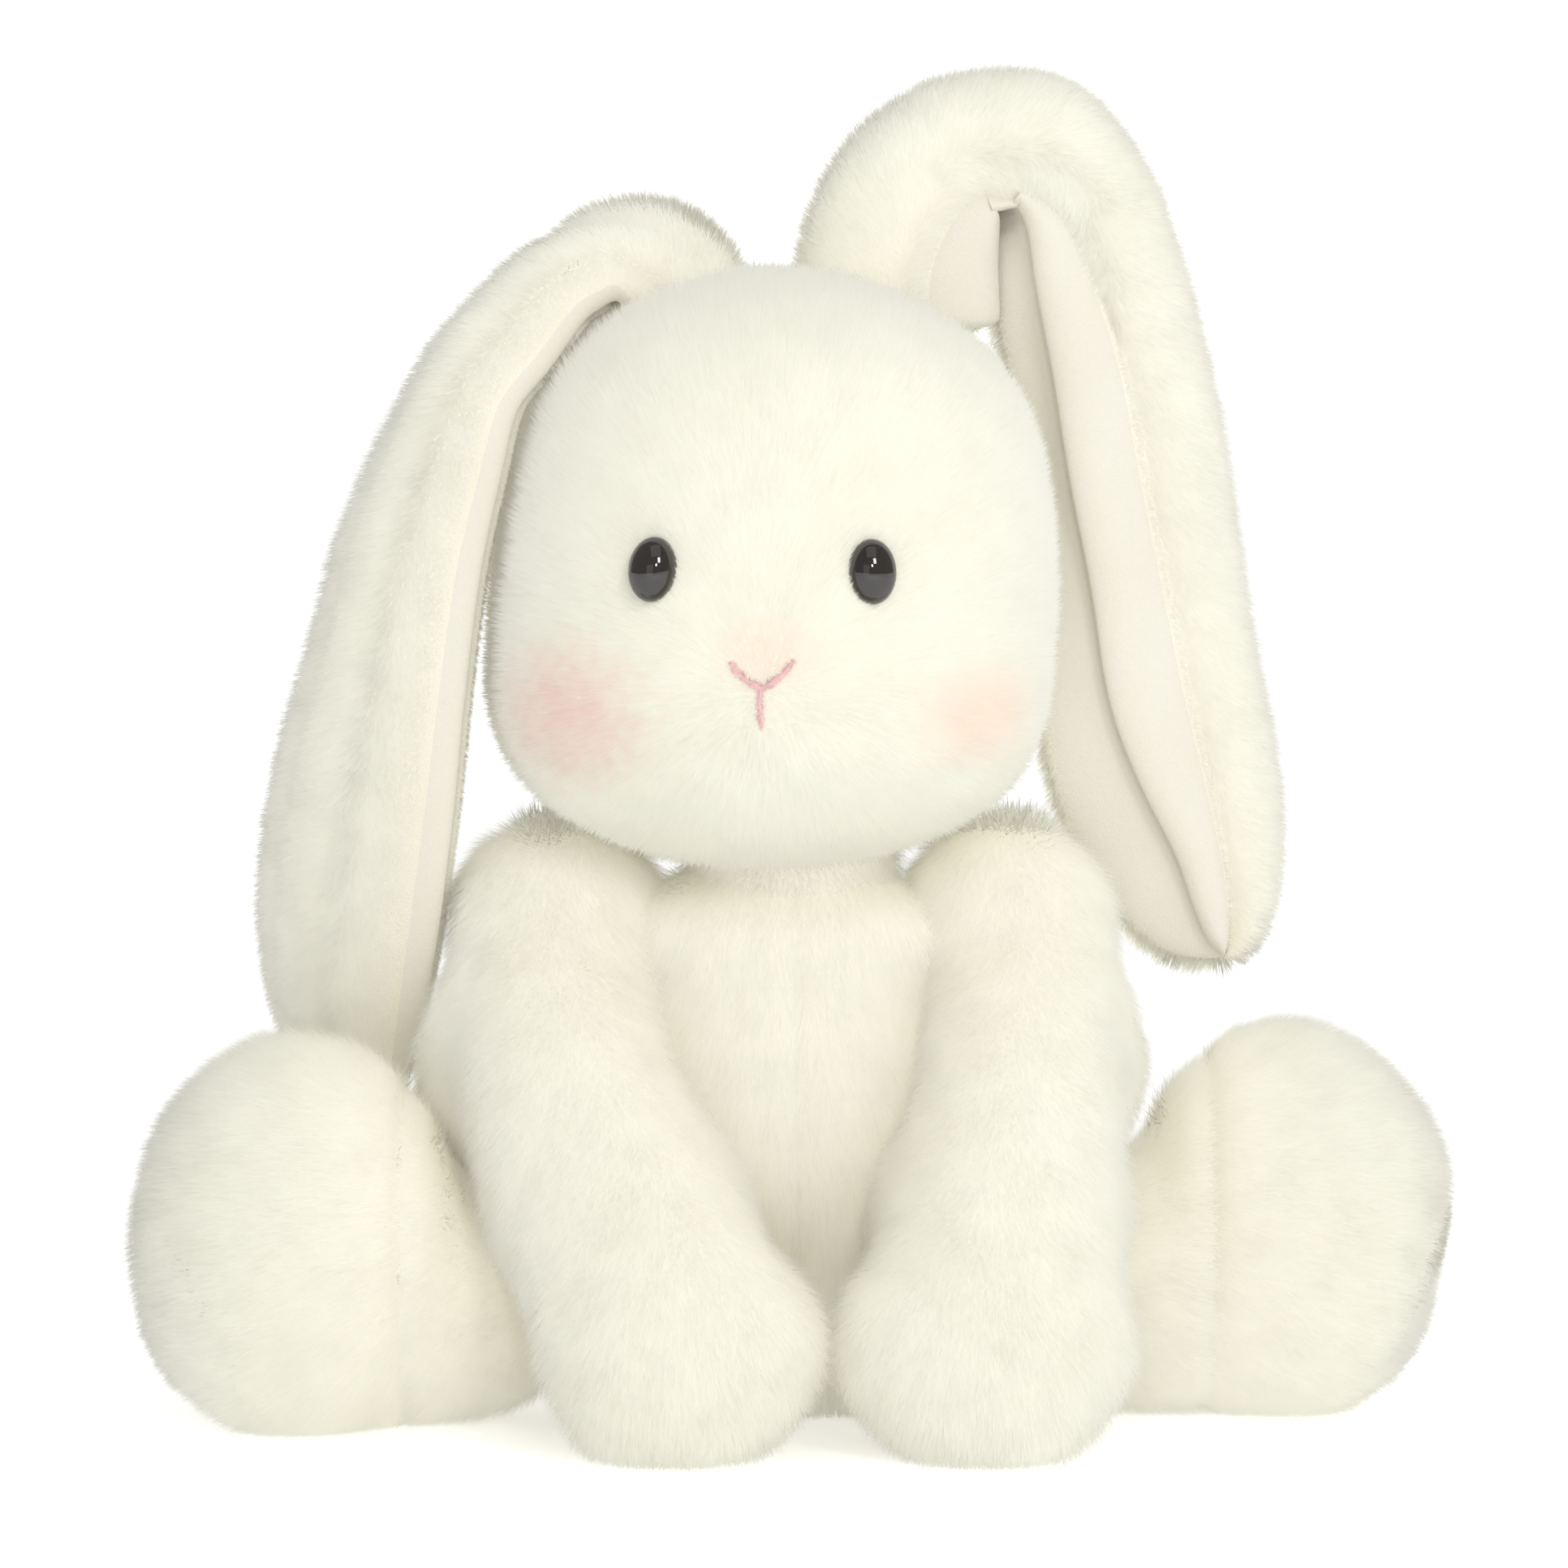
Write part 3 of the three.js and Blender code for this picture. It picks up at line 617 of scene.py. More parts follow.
def lay_out(mesh, count, roots):
    """A UV map with a small triangle for each strand, in rows of blocks that keep neighbours together."""
    order = neighbour_order(roots)
    rank = np.empty(count, np.int64)
    rank[order] = np.arange(count)
    across = int(math.ceil(math.sqrt(count)))
    column, row = rank % across, rank // across
    column = np.where(row % 2, across - 1 - column, column)
    cell = 1.0 / across
    corners = np.array([[0.5, 0.85], [0.85, 0.15], [0.15, 0.15]])        # the tip, then both root corners
    spots = (np.stack([column, row], 1)[:, None, :] + corners[None]) * cell
    uv = mesh.uv_layers.new(name="OFBake")
    corner_points = np.empty(len(mesh.loops), np.int64)
    mesh.loops.foreach_get("vertex_index", corner_points)
    uv.data.foreach_set("uv", spots.reshape(-1, 2)[corner_points].ravel())


def grow_fur(name, skin, body, material, strands, length=6.2, width=0.42, upright=0.7, tousle=0.16,
             clump=9.0, seed=1):
    """A coat of strands on a skin, as one plain mesh. Length, width and clump are in millimetres."""
    area = furry_area(skin.data)
    strands = min(strands, MOST_STRANDS)
    coat = object_from(name, skin.data.copy())
    modifier = coat.modifiers.new("fur_coat", "NODES")
    modifier.node_group = FUR_TREE
    for label, value in (("Strands per Area", strands / area), ("Strand Length", length * MM),
                         ("Strand Width", width * MM), ("Uprightness", upright), ("Tousle", tousle),
                         ("Clump Size", clump * MM), ("Seed", seed), ("Material", material)):
        modifier[FUR_SOCKETS[label]] = value
    applied(coat)
    mesh = coat.data
    points = points_of(mesh)
    points[:, 2] = np.maximum(points[:, 2], 0.5 * FLOOR_CLEARANCE)
    put_points(mesh, points)
    count = len(mesh.vertices) // 3
    roots = np.empty(len(mesh.vertices) * 3)
    mesh.attributes["root_normal"].data.foreach_get("vector", roots)
    roots = roots.reshape(-1, 3)
    strand = points.reshape(count, 3, 3)
    way = strand[:, 0] - (strand[:, 1] + strand[:, 2]) / 2
    way /= np.maximum(np.linalg.norm(way, axis=1, keepdims=True), 1e-9)
    shading = roots + TIP_LIFT * np.repeat(way, 3, axis=0)
    shading /= np.maximum(np.linalg.norm(shading, axis=1, keepdims=True), 1e-9)
    lay_out(mesh, count, strand[:, 1])
    for spare in ("root_normal", "comb", "pile"):
        if spare in mesh.attributes:
            mesh.attributes.remove(mesh.attributes[spare])
    mesh.shade_smooth()
    mesh.normals_split_custom_set_from_vertices(shading)
    coat.visible_diffuse = coat.visible_shadow = False    # strands do not darken one another
    if body:
        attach(coat, body)
    return coat


def furry_area(mesh):
    """The area of the faces on which fur grows."""
    areas = np.empty(len(mesh.polygons))
    mesh.polygons.foreach_get("area", areas)
    pile = np.empty(len(mesh.vertices))
    mesh.attributes["pile"].data.foreach_get("value", pile)
    starts = np.empty(len(mesh.polygons), np.int64)
    mesh.polygons.foreach_get("loop_start", starts)
    corner_points = np.empty(len(mesh.loops), np.int64)
    mesh.loops.foreach_get("vertex_index", corner_points)
    return float(areas[pile[corner_points[starts]] > LEAST_PILE].sum())


HANG = (0.0, 0.2, -1.0)
HANG_SHARE = 0.6
WEAK_COMB = 0.5


def set_coat(made, comb, pile):
    """Stores on a skin which way its fur is combed, and how long it is from 0 to 1.

    The comb never points out of the skin. Where that leaves it weak, the fur hangs down instead.
    """
    mesh = made.data
    comb = np.asarray(comb, float)
    normals = vertex_normals(mesh)
    comb = comb - normals * np.maximum((comb * normals).sum(1, keepdims=True), 0)
    hang = np.array(HANG)
    hang = hang - normals * (normals @ hang)[:, None]
    lack = np.clip(1 - np.linalg.norm(comb, axis=1, keepdims=True) / WEAK_COMB, 0, 1)
    comb = comb + HANG_SHARE * lack * unit(hang)
    store = mesh.attributes.new("comb", "FLOAT_VECTOR", "POINT")
    store.data.foreach_set("vector", np.asarray(comb, np.float32).ravel())
    store = mesh.attributes.new("pile", "FLOAT", "POINT")
    store.data.foreach_set("value", np.asarray(pile, np.float32).ravel())


def comb_one_way(made, way):
    """A coat of full length, combed one way all over."""
    count = len(made.data.vertices)
    set_coat(made, np.tile(way, (count, 1)), np.ones(count))


def unit(vectors):
    return vectors / np.maximum(np.linalg.norm(vectors, axis=-1, keepdims=True), 1e-9)


def smooth_step(values, low, high):
    share = np.clip((values - low) / (high - low), 0, 1)
    return share * share * (3 - 2 * share)


# ---- Materials in use ----

nose = middle_of("nose_and_mouth_stitching")
nose_low, nose_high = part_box("nose_and_mouth_stitching")

BLUSH_RIGHT = (nose.x - 45 * MM, nose.y + 10 * MM, nose.z - 6.5 * MM)
BLUSH_LEFT = (nose.x + 49 * MM, nose.y + 10 * MM, nose.z - 6 * MM)
MUZZLE = (nose.x + 1 * MM, nose.y, nose_high.z + 1 * MM)
ROSE = (0.80, 0.44, 0.42, 1)
PEACH = (0.93, 0.66, 0.54, 1)
PALE_PINK = (0.94, 0.70, 0.60, 1)
DYED_SPOTS = (              # centre, reach, colour, strength, raggedness and core
    (BLUSH_RIGHT, (27 * MM, 60 * MM, 24 * MM), ROSE, 0.80, 0.9, 0.05),
    (BLUSH_LEFT, (21 * MM, 60 * MM, 17 * MM), PEACH, 0.85, 0.25, 0.15),
    (MUZZLE, (15 * MM, 40 * MM, 11 * MM), PALE_PINK, 0.95, 0.3, 0.15),
)

# Each cloth and plastic: its lighter colour, its deeper colour, and how fine and rough it is.
fur = fur_material("cream_fur")
blushed_fur = fur_material("cream_fur_with_blush", DYED_SPOTS)
plush_backing = cloth_material("plush_backing", (0.80, 0.78, 0.67, 1), (0.77, 0.74, 0.61, 1),
                               grain_scale=1400.0, bump=0.5)
velour = cloth_material("cream_velour", (0.73, 0.71, 0.635, 1), (0.71, 0.685, 0.60, 1),
                        grain_scale=2200.0, bump=0.35, roughness=0.85, sheen=0.2)
thread = cloth_material("pink_thread", (0.88, 0.56, 0.56, 1), (0.80, 0.44, 0.46, 1),
                        grain_scale=3000.0, bump=0.8, roughness=0.8, sheen=0.2)
thread_fuzz = cloth_material("pink_thread_fuzz", (0.88, 0.60, 0.59, 1), (0.80, 0.46, 0.48, 1),
                             grain_scale=3000.0, bump=0.2, roughness=0.8, sheen=0.2)
black_plastic = plastic_material("black_plastic", (0.008, 0.006, 0.005, 1), (0.014, 0.009, 0.007, 1), 0.03)
washer_plastic = plastic_material("washer_plastic", (0.72, 0.72, 0.72, 1), (0.62, 0.62, 0.62, 1), 0.45)

make_camera()
make_world()
for name, settings in SOFTBOXES.items():
    make_softbox(name, *settings)

# ---- Torso and tail ----

TRUNK = ((-1, -1, 70), (45, 37, 65))
SHOULDERS = ((-2, -5, 110), (47, 26, 18))
CHEST_SEAM_DEPTH, CHEST_SEAM_WIDTH = 1.0 * MM, 2.0 * MM


def press_chest_seam(made):
    pressed_seam(made, lambda points: points[:, 0], CHEST_SEAM_DEPTH, CHEST_SEAM_WIDTH)


torso = padded_bag("torso_skin", ["torso_cover"], ["torso_stuffing", "seat_pellet_pouch"], "torso",
                   plush_backing, lumps=[TRUNK, SHOULDERS], soften=10, shape=press_chest_seam)
comb_one_way(torso, (0, 0, -0.75))
grow_fur("torso_fur", torso, "torso", fur, 120000, seed=2)

tail = padded_bag("tail_skin", ["tail_cover"], ["tail_stuffing"], "torso", plush_backing, cap=1.5 * MM)
comb_one_way(tail, (0, 0, -0.7))
grow_fur("tail_fur", tail, "torso", fur, 14000, length=6.0, tousle=0.3, seed=3)

# ---- Neck ----

NECK_SPREAD = (1.75, 1.75, 0.8)


def fatten_neck(made):
    """The neck's filling spreads into a collar between the head and the torso."""
    points = points_of(made.data)
    centre = np.array(middle_of("neck_stuffing"))
    put_points(made.data, centre + (points - centre) * np.array(NECK_SPREAD))


neck = padded_bag("neck_skin", ["neck_stuffing"], [], "neck", plush_backing, cap=1.5 * MM,
                  stretch=fatten_neck)
comb_one_way(neck, (0, 0, -0.5))
grow_fur("neck_fur", neck, "neck", fur, 12000, length=4.5, seed=12)

# ---- Head ----

JOWLS = ((-5, -14, 161), (60, 47, 32))
HEAD_COMB = 0.8
TURN_START, TURN_END = 8 * MM, 36 * MM           # behind the head's middle
# Shorter fur: its reach in millimetres, then the reaches between which it grows back to full length.
SHORT_ROUND_EYES = ((5.5, 12, 7.5), 1.0, 1.9)
SHORT_ROUND_NOSE = ((9, 12, 10), 0.8, 1.6)

head = padded_bag("head_skin", ["head_cover"], ["head_stuffing"], "head", plush_backing, lumps=[JOWLS],
                  soften=8)


def shortened(points, place, reach, start, end):
    """How long the fur is round a place on the face, from 0.55 at the place to 1 further off."""
    near = np.linalg.norm((points - np.array(place)) / np.array(reach), axis=1) / MM
    return 0.55 + 0.45 * smooth_step(near, start, end)


def coat_head(made):
    """Fur combed away from the nose at the front and down at the back, shorter round the eyes and nose."""
    points = points_of(made.data)
    face = np.array([nose.x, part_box("head_cover")[0].y, nose.z])
    away = points - face
    normals = vertex_normals(made.data)
    away -= normals * (away * normals).sum(1, keepdims=True)
    middle = middle_of("head_cover").y
    behind = smooth_step(points[:, 1], middle + TURN_START, middle + TURN_END)[:, None]
    comb = unit(away) * HEAD_COMB * (1 - behind) + np.array([0.0, 0.0, -HEAD_COMB]) * behind
    pile = np.ones(len(points))
    for eye in ("eye_left", "eye_right"):
        pile *= shortened(points, middle_of(eye), *SHORT_ROUND_EYES)
    pile *= shortened(points, nose, *SHORT_ROUND_NOSE)
    set_coat(made, comb, pile)


coat_head(head)
grow_fur("head_fur", head, "head", blushed_fur, 190000, seed=4)

# Eyes: glossy oval domes that bed in the fur.
EYE_HALF_WIDTH, EYE_HALF_HEIGHT = 5.75, 7.5      # in millimetres
EYE_BULGE = 5.2 * MM
EYE_SHARE = 0.97             # the dome's share of that width and height, as fur covers the rim
EYE_SHIFT = {"left": 2.3 * MM, "right": 1.5 * MM}     # towards the nose, as they bed in the fur

for side in SIDES:
    outward = np.array(unit(np.array(middle_of(f"eye_{side}") - middle_of(f"eye_washer_{side}"))))
    apex = (points_of(frame["nodes"][f"eye_{side}"].data) @ outward).max()
    centre = np.array(middle_of(f"eye_washer_{side}"))
    centre += outward * (apex - centre @ outward - EYE_BULGE)
    centre[0] -= SIDES[side] * EYE_SHIFT[side]
    across = unit(np.cross(outward, [0, 0, 1.0]))
    upwards = np.cross(across, outward)
    ball = bmesh.new()
    bmesh.ops.create_uvsphere(ball, u_segments=48, v_segments=32, radius=1)
    mesh = bpy.data.meshes.new(f"eye_bead_{side}")
    ball.to_mesh(mesh)
    ball.free()
    bead = object_from(f"eye_bead_{side}", mesh)
    points = points_of(mesh)
    half = np.array([EYE_HALF_WIDTH * EYE_SHARE, EYE_BULGE / MM, EYE_HALF_HEIGHT * EYE_SHARE]) * MM
    put_points(mesh, centre + (points[:, :1] * half[0]) * across + (points[:, 1:2] * half[1]) * outward
               + (points[:, 2:] * half[2]) * upwards)
    outward_faces(mesh)
    mesh.shade_smooth()
    mesh.materials.append(black_plastic)
    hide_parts(f"eye_{side}")
    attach(bead, "head")

# Nose and mouth: a V of pink thread with a stem below it, a little fuzzy.
head_surface = BVHTree.FromObject(head, bpy.context.evaluated_depsgraph_get())


def on_face(x, z, lift):
    """The place on the face straight behind x and z, and this far out of the skin."""
    start = Vector((x, cad_low.y - 0.1, z))
    point, normal, _, _ = head_surface.ray_cast(start, Vector((0, 1, 0)))
    return np.array(point + normal * lift)


THREAD_LIFT = 1.7 * MM
THREAD_RADIUS = 0.26 * MM
THREAD_STEPS, THREAD_SIDES = 15, 8
THREAD_TAPER = [0.35, 0.8] + [1.0] * (THREAD_STEPS - 4) + [0.8, 0.35]


def thread_row(places, radius):
    """A round thread along these places on the face, with tapered ends."""
    path = catmull(np.array([on_face(x, z, THREAD_LIFT) for x, z in places]), THREAD_STEPS)
    return tube(path, radius * np.array(THREAD_TAPER), THREAD_SIDES)


def catmull(points, steps):
    """A smooth path through the points, with this many places on it."""
    ends = np.vstack([2 * points[0] - points[1], points, 2 * points[-1] - points[-2]])
    out = []
    for t in np.linspace(0, len(points) - 1, steps):
        i = min(int(t), len(points) - 2)
        f = t - i
        a, b, c, d = ends[i:i + 4]
        out.append(0.5 * (2 * b + (c - a) * f + (2 * a - 5 * b + 4 * c - d) * f ** 2
                          + (3 * b - a - 3 * c + d) * f ** 3))
    return np.array(out)


def tube(path, radii, sides):
    """Points and faces of a round cord along a path."""
    tangents = unit(np.gradient(path, axis=0))
    first = unit(np.cross(tangents, [0, 1.0, 0.01]))
    second = np.cross(tangents, first)
    turn = np.linspace(0, 2 * math.pi, sides, endpoint=False)
    rings = (path[:, None] + radii[:, None, None] * (np.cos(turn)[None, :, None] * first[:, None]
                                                     + np.sin(turn)[None, :, None] * second[:, None]))
    return ring_faces(rings)


def ring_faces(rings):
    """Points and faces of a closed form through these rings of points, with a fan at each end."""
    count, sides = rings.shape[:2]
    points = np.vstack([rings.reshape(-1, 3), rings[0].mean(0), rings[-1].mean(0)])
    faces = []
    for i in range(count - 1):
        for j in range(sides):
            k = (j + 1) % sides
            faces.append((i * sides + j, i * sides + k, (i + 1) * sides + k, (i + 1) * sides + j))
    for j in range(sides):
        k = (j + 1) % sides
        faces.append((count * sides, k, j))
        faces.append((count * sides + 1, (count - 1) * sides + j, (count - 1) * sides + k))
    return points, faces


v_left, v_right = nose_low.x + 1 * MM, nose_high.x - 1 * MM
v_top, v_bottom = nose_high.z - 1.2 * MM, nose_high.z - 6.8 * MM
left_row = [(v_left, v_top), (v_left + 3 * MM, v_top - 3.4 * MM), (nose.x, v_bottom)]
right_row = [(v_right, v_top + 0.2 * MM), (v_right - 3 * MM, v_top - 3.2 * MM), (nose.x, v_bottom)]
stem = [(nose.x, v_bottom + 0.4 * MM), (nose.x - 0.3 * MM, nose.z - 2 * MM),
        (nose.x, nose_low.z + 1 * MM)]
rows = [thread_row(left_row, THREAD_RADIUS), thread_row(right_row, THREAD_RADIUS),
        thread_row(stem, THREAD_RADIUS * 0.8)]
thread_points, thread_faces, used = [], [], 0
for row_points, row_faces in rows:
    thread_points.append(row_points)
    thread_faces += [tuple(i + used for i in face) for face in row_faces]
    used += len(row_points)
stitches = mesh_from("nose_and_mouth_thread", np.vstack(thread_points), thread_faces, thread)
outward_faces(stitches.data)
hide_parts("nose_and_mouth_stitching")
set_coat(stitches, np.zeros((used, 3)), np.ones(used))
grow_fur("nose_and_mouth_fuzz", stitches, "head", thread_fuzz, 3600, length=1.5, width=0.14, upright=0.6,
         tousle=0.8, clump=2.0, seed=21)
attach(stitches, "head")

# ---- Ears ----

EAR_SECTION = 20.0           # an ear's cross-section is drawn 20 wide each side of its middle
EAR_SECTION_DEPTH = 9.0      # and about 9 deep
EAR_THICKNESS = 0.92
FUR_ROOM = 0.8 * MM          # the skin lies this far inside the fur's outline


def left_section(edge, seam, flap):
    """Front roll, seam, lining strip, cleft, rear flap. First along the ear's width, then backwards."""
    roll, strip = EAR_SECTION - seam, seam - edge
    return np.array([
        (20, 1.2), (20 - 0.06 * roll, -3.8), (20 - 0.24 * roll, -7.4), (20 - 0.5 * roll, -8.9),
        (20 - 0.74 * roll, -8.3), (20 - 0.93 * roll, -6.9), (seam, -4.0),
        (seam - 0.08 * strip, -6.1), (seam - 0.32 * strip, -7.3), (seam - 0.56 * strip, -7.9),
        (seam - 0.8 * strip, -7.3), (edge + 0.06 * strip, -5.6), (edge, -4.0), (edge + 0.07 * strip, -2.7),
        (edge + 0.16 * strip, -2.0), (edge + 0.2 * strip, -1.4), (edge + 0.2 * strip, -0.7),
        (edge + 0.5, 0.3), (-14 - flap, 3.6), (-18 - flap, 6.0), (-20 - flap, 8.0), (-18.6 - flap, 9.6),
        (-13 - flap, 9.8),
        (-5, 9.4), (4, 9.0), (11, 8.2), (16.5, 6.6), (19.3, 4.2)])


def right_section(edge, seam, flap):
    """Rear strip, edge seam, front face, lining strip, cleft, rear flap."""
    return np.array([
        (20, 5.0), (19.7, 2.0), (18, -0.8), (seam + 1.4, -2.6), (seam, -3.6), (seam - 1.6, -5.9),
        (seam - 5, -7.9), (3, -9.1), (-3, -9.3), (edge + 9.5, -9.0), (edge + 4.5, -8.2), (edge + 1.6, -6.4),
        (edge, -4.0), (edge + 0.8, -2.6), (edge + 5, -1.9), (0, -1.5), (6, 0.1), (0, 0.3), (-12, 0.8),
        (-16, 1.4), (-18 - flap, 2.8), (-16.5, 4.8), (-10, 6.8), (-2, 8.3), (6, 9.0), (12, 9.2),
        (16.5, 8.6), (19.2, 7.2)])


# For each point of the section: how long its fur is, and which points are smooth lining.
PLUSH_PILE = {"left": [1, 1, 1, 1, 1, 0.9, 0.45] + [0] * 13 + [0.7] + [1] * 7,
              "right": [1, 1, 1, 0.8, 0.35, 0.8, 1, 1, 0.8, 0.25] + [0] * 10 + [0.15, 0.4, 0.8] + [1] * 5}
LINING_POINTS = {"left": range(7, 20), "right": range(10, 20)}

# Stations: x, y, z, half width and half depth in millimetres from the fold, then the edge and the
# seam of the front face, as places on the section, and how far the rear flap reaches past it.
EAR_STATIONS = {
    "left": [
        (-28, -3, -42, 24, 8, -19, -2, 0), (-27.5, -3, -26, 23, 9, -19, -3, 0),
        (-23, -3, -12, 20, 10, -19, -6, 0), (-16, -2, -3, 16.5, 10.5, -19, -11, 0),
        (-8, -1, -0.6, 15.4, 10.5, -19, -14.5, 0), (-1.2, -0.5, 0.2, 15.2, 10.5, -19.3, -16.5, 0),
        (4.5, -0.5, -1.5, 15.2, 10.5, -19.3, -15, 2), (9.3, 0, -7, 15.4, 10, -19, -11.5, 5),
        (13.5, 0, -15, 16.4, 9.5, -18.8, -7, 7), (17.2, 0.3, -29, 18, 9, -18.8, -3, 7),
        (20.8, 0.3, -51, 20.5, 9, -16, 1.2, 3), (23.8, 0.3, -76, 22.5, 9, -13.6, 2.9, 0),
        (26.5, 0.8, -101, 23.5, 9, -11, 5, 0), (29, 1.3, -126, 25, 9, -9, 7, 0),
        (33, 1.8, -146, 25, 9, -6, 7.4, 0), (37.8, 2.3, -163, 21.5, 8.5, -3.5, 7.4, 0),
        (42, 2.3, -176, 16, 7.5, -4, 7, 0), (44.6, 2.3, -183.5, 9.5, 6, -4, 6, 0),
        (45.8, 2.3, -187, 2, 3, 0, 6, 0)],
    "right": [
        (29, 6, -12, 13, 8, -17, 14, 0), (25, 6, -4, 13.5, 9, -17, 14, 0), (20.5, 5, 0, 13, 10, -17, 14, 0),
        (14.5, 3, 1.6, 12.4, 10, -17.5, 14, 0), (8.6, 1, 1.2, 11.6, 10, -18, 14, 0),
        (3.2, -1.4, -1.4, 11, 9.5, -18.5, 14, 0), (-2.6, -4.8, -5.2, 12, 9, -19, 14, 0),
        (-11, -8.5, -14.6, 13.5, 9, -19.4, 14, 0), (-20, -11.5, -26, 14, 9, -19.4, 14, 0),
        (-26, -13, -41.6, 16.4, 9, -19.4, 14, 0), (-33.3, -12.5, -64, 19.2, 9, -19.4, 14, 0),
        (-39, -9.5, -92, 21.6, 9, -19.4, 14, 0), (-43.5, -4.5, -115, 24.2, 9, -19.4, 14, 0),
        (-47.2, 3.5, -137, 25, 9, -19.4, 14, 0), (-49.5, 10.5, -155, 24, 9, -19.4, 14, 0),
        (-50, 17, -171, 20.5, 8.5, -19.4, 13, 0), (-48, 21.5, -184, 15, 7.5, -18, 12, 0),
        (-46, 23, -191, 8, 5.5, -17, 11, 0), (-45, 23.5, -194, 2, 3, -17, 11, 0)],
}
EAR_YAW = {"left": 14, "right": -24}             # degrees that an ear is turned about the upright
EAR_RINGS = 76
EAR_LEAST_HALF = 0.8 * MM
EAR_SPREAD, EAR_FLOW = 0.55, 0.45                # the comb's parts, out to the edges and towards the tip


def ear_skin(side, sign):
    """One unbroken skin from the ear's root over the fold to its tip, and the place of the fold."""
    stations = np.array(EAR_STATIONS[side], float)
    fold = np.array(JOINTS[f"ear_{side}_flop"]["pos_m"])
    stations[:, :5] *= MM
    rows = catmull(stations, EAR_RINGS)
    rows[:, 3:5] = np.maximum(rows[:, 3:5], EAR_LEAST_HALF)
    path = rows[:, :3] + fold
    tangents = unit(np.gradient(path, axis=0))
    yaw = math.radians(EAR_YAW[side])
    backwards = np.array([-math.sin(yaw), math.cos(yaw), 0.0])
    inwards = unit(np.cross(backwards, tangents)) * sign
    deep = unit(np.cross(tangents, inwards)) * sign
    section = left_section if side == "left" else right_section
    rings, outward, count = [], [], len(PLUSH_PILE[side])
    for row, middle, inward, back in zip(rows, path, inwards, deep):
        shape = section(row[5], row[6], row[7]) / EAR_SECTION
        wide = shape[:, 0] * row[3]
        wide = np.where(wide > 0, wide - FUR_ROOM * shape[:, 0], wide)
        thick = shape[:, 1] * EAR_SECTION / EAR_SECTION_DEPTH * row[4] * EAR_THICKNESS
        rings.append(middle - wide[:, None] * inward + thick[:, None] * back)
        outward.append(np.outer(np.sign(shape[:, 0]), -inward))
    rings, outward = np.array(rings), np.array(outward)
    points, faces = ring_faces(rings)
    skin = mesh_from(f"ear_skin_{side}", points, faces, plush_backing)
    skin.data.materials.append(velour)
    lining = set(LINING_POINTS[side])
    for index in range((EAR_RINGS - 1) * count):
        if index % count in lining:
            skin.data.polygons[index].material_index = 1
    outward_faces(skin.data)
    comb = EAR_SPREAD * outward + EAR_FLOW * tangents[:, None, :]
    comb = np.vstack([comb.reshape(-1, 3), np.zeros((2, 3))])
    pile = np.concatenate([np.tile(PLUSH_PILE[side], EAR_RINGS), [0.5, 1.0]])
    set_coat(skin, comb, pile)
    return subdivided(skin), fold


def blend_ear(piece):
    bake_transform(piece)


for side, sign in SIDES.items():
    ear, fold = ear_skin(side, sign)
    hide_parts(f"ear_base_lining_{side}", f"ear_base_back_{side}", f"ear_lop_lining_{side}",
                f"ear_lop_back_{side}")
    coat = grow_fur(f"ear_fur_{side}", ear, None, fur, 150000, length=5.2, seed=14 + sign)
    blend_ear(ear)
    blend_ear(coat)

# ---- Arms ----

ARM_LUMPS = {           # shoulder, upper arm, forearm, paw
    "left": [((49, -4, 115), (26, 22, 24)), ((55, -14, 84), (26, 21, 32)),
             ((47, -40, 52), (30, 22, 27)), ((42.5, -66, 26), (35, 23, 26))],
    "right": [((-53, -4, 115), (27, 22, 24)), ((-56, -14, 82), (31, 22, 32)),
              ((-39, -40, 52), (31, 22, 27)), ((-24.5, -66, 26), (34, 23, 26))],
}

ARM_COMB = np.array([0.0, 0.0, -0.7])
ARM_RISE = 0.2               # the share of the comb's inward part that is taken off where an arm faces up


def coat_arm(made):
    normals = vertex_normals(made.data)
    comb = np.tile(ARM_COMB, (len(normals), 1))
    inwards = np.minimum((comb * normals).sum(1, keepdims=True), 0)
    set_coat(made, comb - ARM_RISE * inwards * normals, np.ones(len(normals)))


for side, sign in SIDES.items():
    arm = padded_bag(f"arm_skin_{side}", [f"arm_cover_{side}"], [f"arm_stuffing_{side}"], f"arm_{side}",
                     plush_backing, lumps=ARM_LUMPS[side], soften=14)
    coat_arm(arm)
    grow_fur(f"arm_fur_{side}", arm, f"arm_{side}", fur, 110000, seed=5 + sign)

# ---- Legs ----

INSTEPS = {"left": ((112, -1, 44), (36, 31, 47)), "right": ((-110, -28, 44), (38, 32, 47))}
ANKLE_SEAM = {"left": 93.7 * MM, "right": -86 * MM}
ANKLE_SEAM_DEPTH, ANKLE_SEAM_WIDTH = 1.6 * MM, 2.5 * MM
SOLE_COMB = 0.4


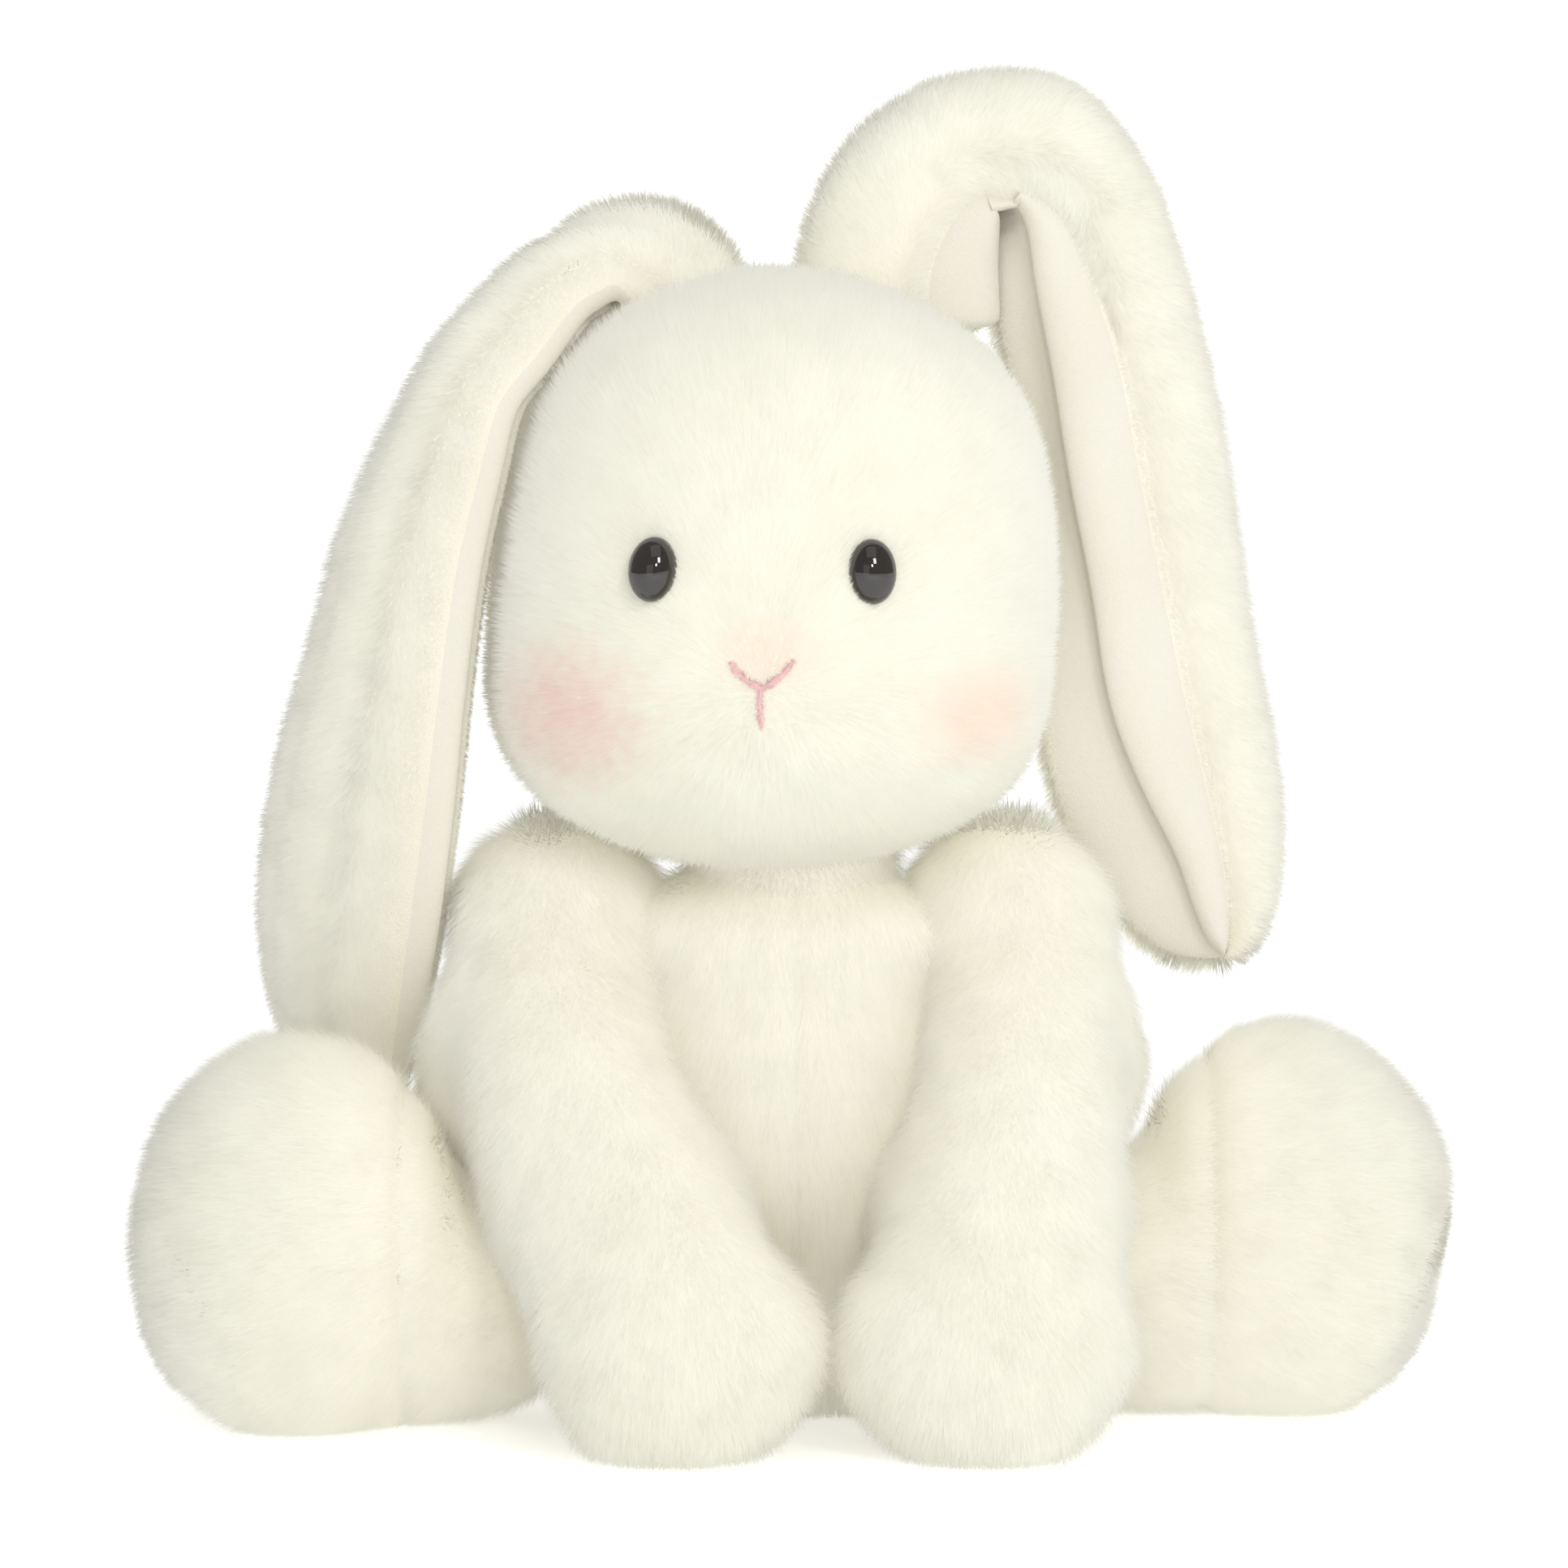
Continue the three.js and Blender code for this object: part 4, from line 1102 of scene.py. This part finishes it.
def press_ankle_seam(side):
    return lambda made: pressed_seam(made, lambda points: points[:, 0] - ANKLE_SEAM[side],
                                     ANKLE_SEAM_DEPTH, ANKLE_SEAM_WIDTH)


for side, sign in SIDES.items():
    leg = padded_bag(f"leg_skin_{side}", [f"leg_cover_{side}"],
                     [f"leg_stuffing_{side}", f"foot_pellet_pouch_{side}"], f"leg_{side}", plush_backing,
                     lumps=[INSTEPS[side]], soften=8, shape=press_ankle_seam(side))
    comb_one_way(leg, (sign * 0.7, 0, -0.1))
    grow_fur(f"leg_fur_{side}", leg, f"leg_{side}", fur, 120000, seed=8 + sign)
    sole = padded_bag(f"sole_skin_{side}", [f"sole_{side}"], [], f"leg_{side}", plush_backing,
                      cap=1.0 * MM, shrink=0.0, voxel=2.0 * MM)
    points = points_of(sole.data)
    set_coat(sole, unit(points - points.mean(0)) * SOLE_COMB, np.ones(len(points)))
    grow_fur(f"sole_fur_{side}", sole, f"leg_{side}", fur, 12000, length=3.2, seed=18 + sign)

# ---- The eye washers keep their own solids ----

for side in SIDES:
    washer = frame["nodes"][f"eye_washer_{side}"].data
    washer.materials.clear()
    washer.materials.append(washer_plastic)

# ---- Floor ----

FLOOR_REACH = 6

floor_finish, floor_tree, floor_shader, floor_coords = make_material("pale_floor", Roughness=0.9,
                                                                    Specular_IOR_Level=0.1)
floor_colour = in_group(floor_tree, PATCHES, Coordinates=floor_coords, Light_Colour=(0.95, 0.95, 0.95, 1),
                        Deep_Colour=(0.94, 0.94, 0.94, 1), Patch_Scale=2.0)["Colour"]
floor_tree.link(floor_colour, floor_shader.inputs["Base Color"])
floor_shader.inputs["Emission Color"].default_value = (1, 1, 1, 1)
floor_shader.inputs["Emission Strength"].default_value = FLOOR_GLOW
floor_corners = [(-FLOOR_REACH, -FLOOR_REACH, 0), (FLOOR_REACH, -FLOOR_REACH, 0),
                 (FLOOR_REACH, FLOOR_REACH, 0), (-FLOOR_REACH, FLOOR_REACH, 0)]
floor = mesh_from("floor", floor_corners, [(0, 1, 2, 3)], floor_finish, smooth=False)
